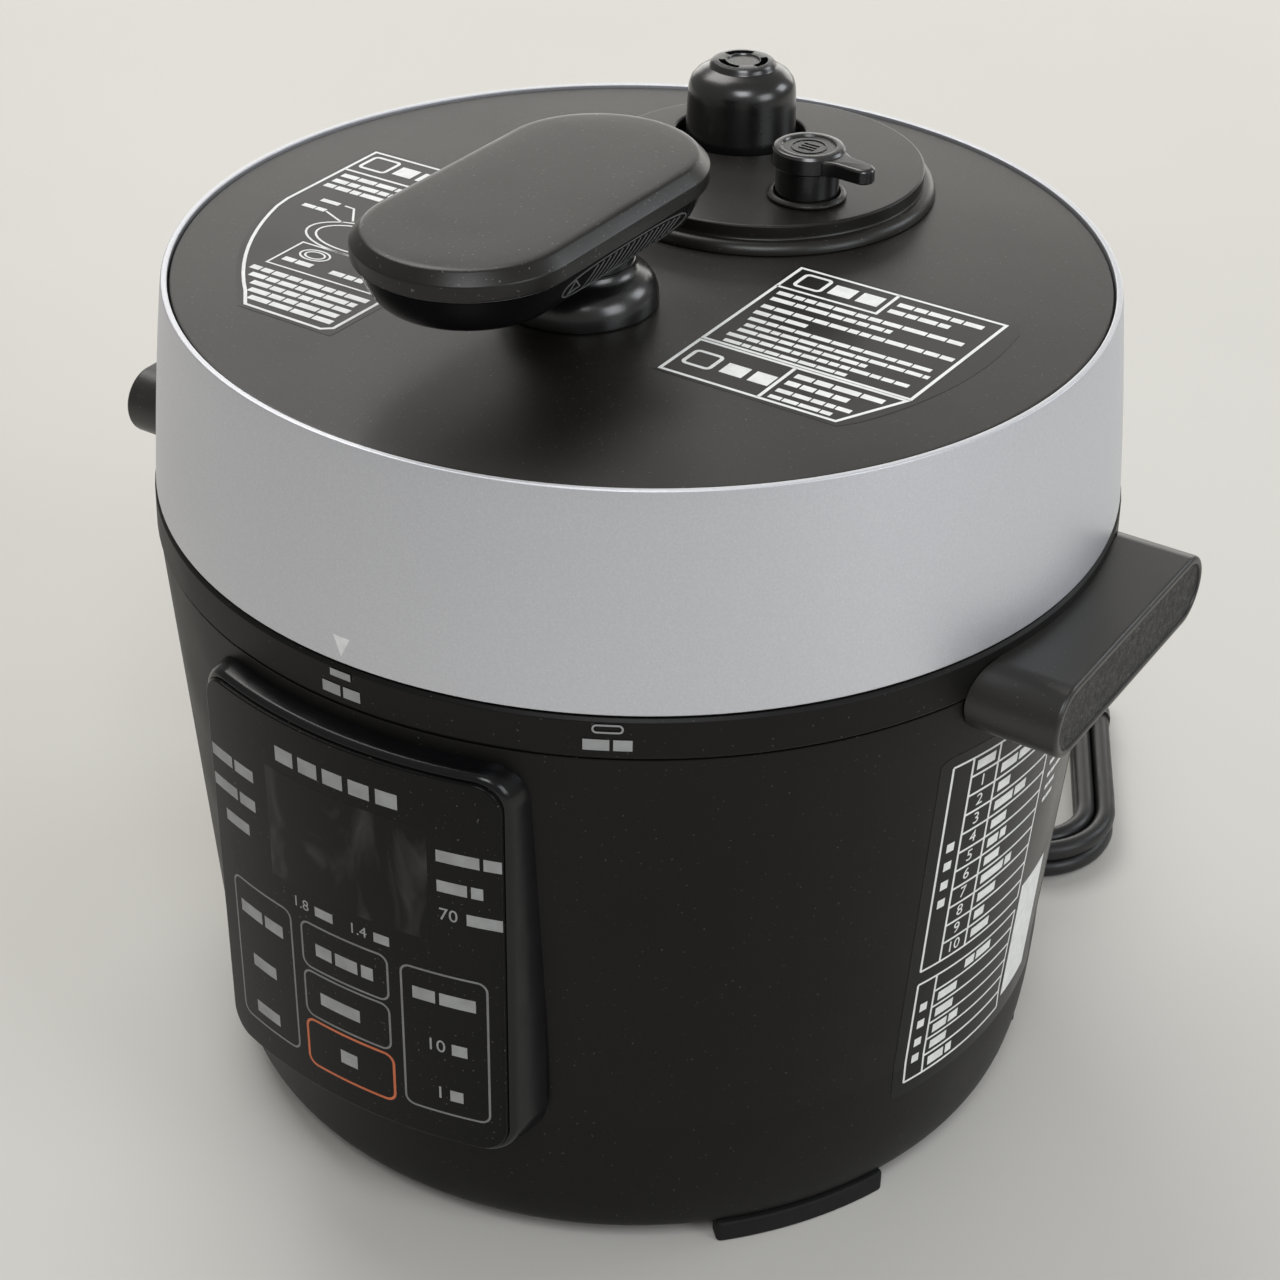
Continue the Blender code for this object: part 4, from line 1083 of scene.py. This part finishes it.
def add_weight():
    bottom, top = low("weight_cap")[2], high("weight_cap")[2]
    outline = [(radius, top - drop) for radius, drop in (
        (0.0, 0.5), (4.4, 0.5), (4.7, 0.1), (7.4, 0.0), (8.5, 0.2), (9.0, 0.8), (9.2, 1.5), (9.6, 1.9),
        (11.2, 2.6), (13.0, 3.8), (14.3, 5.4), (14.9, 7.2), (15.1, 9.5), (15.35, 16.0))]
    outline += [(15.6, bottom + 1.2), (15.5, bottom + 0.4), (15.0, bottom), (13.9, bottom),
                (13.6, top - 9.0), (12.0, top - 6.4), (0.0, top - 4.6)]
    cap = turned("steam_weight_cap", outline, "satin", "weight", ("weight_cap",), WEIGHT_AT,
                 SMALL_SIDES)
    slots = []
    for middle in (12, 132, 252):
        slot = bmesh.new()
        ridge(slot, arc(*WEIGHT_AT, 5.9, middle - 38, middle + 38, 19), 2.0,
              lambda u, v, h: (u, v, top + h), 3.0, sink=3.0)
        slots.append(slot)
    carve(cap, slots)


def add_button():
    top, bottom = high("release_button")[2], low("release_button")[2]
    outline = [(0.0, top - 0.55), (6.9, top - 0.55), (7.3, top - 0.1), (8.4, top), (9.2, top - 0.25),
               (9.7, top - 0.9), (9.8, top - 4.8), (9.5, top - 5.2), (8.5, top - 5.2), (8.5, DECK_Z - 1.5),
               (7.2, DECK_Z - 1.5), (7.2, top - 8.4), (3.0, top - 8.4), (3.0, bottom), (0.0, bottom)]
    button = turned("pressure_release_button", outline, "satin", "button",
                    ("release_button",), BUTTON_AT, SMALL_SIDES)
    aim = math.radians(-9)
    rings = []
    for inset, drop in ((0.3, 5.0), (0.0, 4.6), (0.0, 1.7), (0.35, 1.2), (1.0, 0.9)):
        pointer = arc(18.2, 0.0, 3.0 - inset, -90, 90, 16)
        pointer += [(11.5, 3.6 - inset), (9.0, 5.0 - inset), (7.6, 5.4 - inset), (7.6, -5.4 + inset),
                    (9.0, -5.0 + inset), (11.5, -3.6 + inset)]
        rings.append([(BUTTON_AT[0] + u * math.cos(aim) - v * math.sin(aim),
                       BUTTON_AT[1] + u * math.sin(aim) + v * math.cos(aim), top - drop) for u, v in pointer])
    carve(button, [stacked(rings)], "UNION")

    def place(u, v, h):
        return (BUTTON_AT[0] + u, BUTTON_AT[1] + v, top - 0.55 + h)

    work = bmesh.new()
    ridge(work, ellipse(0, 0, 4.6, 4.6, 30), 0.45, place, 0.2, closed=True)
    bars(work, [(-2.2, 2.2, v) for v in (-1.6, 0.0, 1.6)], 0.55, place, 0.2)
    piece("button_emblem", work, "satin", "button")


def add_label(side, outline, loops, lines, blocks, rows, shuffle):
    """A clear label on the cover, with its frames, lines, solid blocks and rows of words."""
    film = layers(bmesh.new(), outline, (-0.02, 0.05), on_cover)
    piece(side + "_label_film", film, "label_film", "lid")
    work = bmesh.new()
    for width, path in loops:
        ridge(work, path, width, on_cover, LABEL_RISE, True)
    for width, path in lines:
        ridge(work, path, width, on_cover, LABEL_RISE)
    for left, right, v, width in blocks:
        bars(work, [(left, right, v)], width, on_cover, LABEL_RISE)
    for left, right, v, height, gap in rows:
        words(work, left, right, height, v, on_cover, shuffle, LABEL_RISE, gap)
    piece(side + "_label_print", work, "ink", "lid")


def add_stickers():
    """Two clear labels with plain frames and bars, where the real lid has its notices."""
    shuffle = random.Random(7)
    edge, thin, gap = 0.9, 0.6, 0.25
    rows = [(left, right, v, height * 0.85, gap) for left, right, v, height in (
        (68.2, 93.8, 13.0, 2.5), (67.8, 85.4, 8.6, 2.5), (39.6, 93.6, 1.9, 2.3), (40.0, 74.2, -2.0, 2.3),
        (40.2, 93.8, -6.9, 2.3), (40.4, 57.4, -11.0, 2.3), (41.2, 92.8, -15.0, 2.0),
        (42.2, 93.2, -18.6, 2.0), (42.2, 78.0, -21.8, 2.0), (41.2, 92.6, -25.2, 2.0),
        (42.2, 76.8, -28.6, 1.8), (66.4, 90.2, -35.6, 2.6), (66.2, 83.0, -39.8, 2.6),
        (66.2, 87.0, -44.3, 2.1), (66.2, 83.0, -47.9, 1.9))]
    add_label(
        "right",
        [(36.2, 19.6), (99.2, 19.2)] + arc(0, 0, 102.0, 8, -28, 12) + [(86.6, -52.2), (36.2, -51.6)],
        [(edge, [(37.4, 18.0), (96.0, 17.6), (94.8, -30.8), (37.4, -30.6)]),
         (edge, [(37.4, -31.9), (94.4, -31.9), (85.4, -50.2), (37.4, -50.2)]),
         (1.0, frame_path(40.6, 8.0, 48.0, 15.4, 1.2)), (1.0, frame_path(40.0, -44.6, 47.4, -37.2, 1.2))],
        [(edge, [(37.4, 5.2), (66.0, 5.2), (66.0, 17.8)]), (edge, [(64.4, -32.1), (64.4, -50.0)])],
        [(50.0, 56.4, 11.4, 5.6), (58.0, 64.2, 11.4, 5.6), (50.0, 56.2, -41.4, 5.4),
         (57.8, 63.4, -41.4, 5.4)],
        rows, shuffle)

    rows = [(-97.4, -42.0, -1.6, 2.2, gap), (-97.2, -50.0, -5.7, 2.2, gap), (-97.2, -46.0, -9.5, 2.2, gap),
            (-91.4, -83.9, -18.2, 1.8, 0.22), (-93.6, -86.0, -23.4, 1.8, 0.22)]
    rows += [(left, right, v, 2.1, gap) for left, right, v in (
        (-79.6, -42.0, -61.5), (-76.9, -43.0, -65.1), (-73.4, -42.2, -68.7), (-71.2, -43.0, -72.3),
        (-68.4, -42.0, -75.8), (-76.0, -66.0, -53.0), (-60.6, -50.0, -53.0))]
    loops = [(edge, [(-99.7, 16.4), (-99.5, -22.8)] + arc(0, 0, 102.6, 196, 226, 10)
              + [(-66.4, -79.6), (-42.2, -80.0), (-39.8, -78.0), (-39.4, -62.0), (-39.4, 16.4)]),
             (1.0, frame_path(-97.4, 5.6, -89.0, 13.8, 1.2))]
    loops += [(thin, ellipse(-66.0, -33.5, 17.0 * scale, 9.0 * scale, 36)) for scale in (1.0, 0.82)]
    loops += [(thin, [(-78.0, -57.4), (-78.0, -42.6), (-41.0, -42.6), (-41.0, -57.4)])]
    loops += [(0.55, ellipse(-70.2, -47.4, 4.4 * scale, 2.9 * scale, 24)) for scale in (1.0, 0.66)]
    add_label(
        "left",
        [(-101.5, 18.2), (-38.0, 18.2), (-37.2, -62.0), (-37.8, -81.8), (-67.4, -81.4)]
        + arc(0, 0, 104.5, 224, 197, 9),
        loops,
        [(edge, [(-99.3, 2.1), (-39.6, 2.1)]), (thin, [(-83.6, -18.0), (-80.4, -18.2), (-75.6, -24.8)]),
         (thin, [(-85.6, -23.6), (-77.2, -27.2)])],
        [(-86.8, -80.6, 9.4, 5.6), (-79.0, -72.8, 9.4, 5.6)],
        rows, shuffle)


def grip_ring(inset, z):
    return [(GRIP_AT[0] + x, GRIP_AT[1] + y, z)
            for x, y in stadium(GRIP_HALF_WIDTH - inset, GRIP_HALF_LENGTH - inset, 32)]


# (inset from the grip's widest outline, height above the shell's underside)
SHELL_SIDE = [(9.5, 0.0), (7.6, 0.15), (6.2, 0.7), (5.0, 1.8), (3.9, 3.4), (2.9, 5.4), (2.1, 7.4), (1.5, 9.2),
              (1.1, 10.2)]


def shell_inset(height):
    """The grip shell's inset at a height above its underside."""
    for (a_inset, a), (b_inset, b) in zip(SHELL_SIDE, SHELL_SIDE[1:]):
        if a <= height <= b:
            return a_inset + (b_inset - a_inset) * (height - a) / (b - a)
    return SHELL_SIDE[-1][0]


def add_lid_handle():
    bottom, top = low("handle_top")[2], high("handle_top")[2]
    levels = [(3.0, bottom + 1.0), (1.2, bottom), (0.5, bottom), (0.15, bottom + 0.15), (0.0, bottom + 0.6)]
    levels += [(inset, top - drop) for inset, drop in (
        (0.0, 3.4), (0.05, 3.15), (0.25, 2.85), (2.35, 0.65), (2.8, 0.35), (3.4, 0.18), (4.6, 0.08),
        (9.0, 0.02), (16.0, 0.0))]
    work = stacked([grip_ring(inset, z) for inset, z in levels])
    piece("handle_grip_top", work, "grip", "lid", ("handle_top",))

    shell_low = low("handle_shell")[2]
    work = stacked([grip_ring(inset, shell_low + height)
                    for inset, height in SHELL_SIDE + [(2.6, 10.2), (3.2, 8.8)]])
    piece("handle_grip_shell", work, "gloss", "lid", ("handle_shell",))

    # Ribs, leaf outline, small mark and parting-line lip, all light grey as a painted glint on the glossy
    # black shell.
    work = bmesh.new()
    for side in (1, -1):
        def place(u, v, h, side=side):
            """u runs along the grip from its middle, v up from the shell's underside."""
            return (GRIP_AT[0] + side * (GRIP_HALF_WIDTH - shell_inset(v) + h), GRIP_AT[1] + u, shell_low + v)

        leaf = [(2.0 + 26.5 * math.copysign(abs(c) ** 0.7, c), 5.4 + 3.6 * math.copysign(abs(s) ** 0.8, s))
                for c, s in ellipse(0, 0, 1, 1, 41)]
        ridge(work, leaf, 0.35, place, 0.16, True, 0.1)
        for number in range(15):
            u = -13.5 + number * 2.6
            reach = 3.0 * math.sqrt(max(0.05, 1 - ((u + 1.5) / 30) ** 2))
            ridge(work, [(u - 1.0, 5.4 - reach), (u + 2.2, 5.4 + reach)], 0.55, place, 0.1, False, 0.1)
        ridge(work, [(-21.5, 4.0), (-17.0, 4.4), (-20.4, 7.4)], 0.4, place, 0.16, True, 0.1)
    # The shell's upper lip along the parting line, made light grey as a painted highlight.
    stack(work, [grip_ring(inset, bottom - 0.15 + up)
                 for inset, up in ((0.9, 0.1), (0.75, -0.12), (1.4, -0.12), (1.4, 0.1))], closed=True)
    piece("handle_grip_ribs_painted_glint", work, "rib", "lid")

    bottom, top = low("handle_neck")[2], high("handle_neck")[2]
    outline = [(radius, top - drop) for radius, drop in (
        (4.0, 0.0), (14.2, 0.0), (14.2, 6.9), (14.45, 7.1), (14.45, 7.6), (14.2, 7.8), (14.6, 8.9),
        (15.6, 9.8), (17.2, 10.7), (18.7, 12.0), (19.8, 13.8), (20.4, 15.8))]
    outline += [(20.6, bottom + 0.6), (20.5, bottom), (4.0, bottom)]
    turned("handle_pillar", outline, "satin", "lid", ("handle_neck",), NECK_AT, SMALL_SIDES)


def add_lid_inside():
    refined("seal_ring", "silicone", "seal", 0.8)
    lid = refined("pressure_lid", "steel", "lid", 1.2)
    rim_z = low("pressure_lid")[2]
    carve(lid, [sector(bmesh.new(), 60 * number, 104.6, 100.5, rim_z + 0.2, rim_z + 2.0)
                for number in range(6)], "UNION")
    carve(lid, [turn(bmesh.new(), [(0.0, 217.0), (radius, 217.0), (radius, 204.0), (0.0, 204.0)],
                     centre(node)[:2], 48)
                for node, radius in (("vent_pipe", 4.9), ("button_valve", 4.2), ("float_bush", 5.4))])
    for node, finish in (("vent_guard", "steel"), ("button_valve", "silicone"), ("float_bush", "silicone")):
        refined(node, finish, "lid", 0.4, 48)


def add_spring(node, body, turns, wire):
    """A coil spring in a CAD spring's place."""
    first, last, at = low(node), high(node), centre(node)
    coil_r = (last[0] - first[0] - wire) / 2
    bottom, top = first[2] + wire / 2, last[2] - wire / 2
    per_turn, rings = 20, []
    for step in range(turns * per_turn + 1):
        out = Vector((*polar(1.0, 360 * step / per_turn), 0.0))
        rise = (top - bottom) * step / (turns * per_turn)
        middle = Vector((at[0], at[1], bottom + rise)) + out * coil_r
        rings.append([middle + (out * x + Vector((0, 0, y))) * wire / 2
                      for x, y in (polar(1.0, a) for a in range(0, 360, 45))])
    coil = piece(node + "_coil", stacked(rings), "zinc", body, (node,), 60)
    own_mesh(coil)


# ---- CAD nodes that stay

KEPT_NODES = {
    "body": ("base_plate",),
    "gloss": ("display_module",),
    "zinc": ("plate_post_1", "plate_post_2", "plate_post_3", "sensor_bracket", "handle_bolt",
             "base_screw_1", "base_screw_2", "base_screw_3", "base_screw_4", "heating_element"),
    "steel": ("vent_pipe", "weight_core"),
    "board": ("control_board", "power_board"),
    "satin": ("transformer", "relay", "lid_spacer"),
}


def finish_kept_nodes():
    for key, nodes in KEPT_NODES.items():
        for node in nodes:
            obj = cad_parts[node]
            obj.data.materials.clear()
            obj.data.materials.append(finishes[key].material)


add_camera()
add_studio()
add_cord()
add_drum()
add_side_handle("right_handle", 1)
add_side_handle("left_handle", -1)
add_panel()
add_marks()
add_menu_print()
add_base_details()
add_lid()
add_lid_handle()
add_lid_inside()
add_spring("button_spring", "lid", turns=5, wire=0.9)
add_spring("sensor_spring", "base", turns=4, wire=1.2)
finish_kept_nodes()
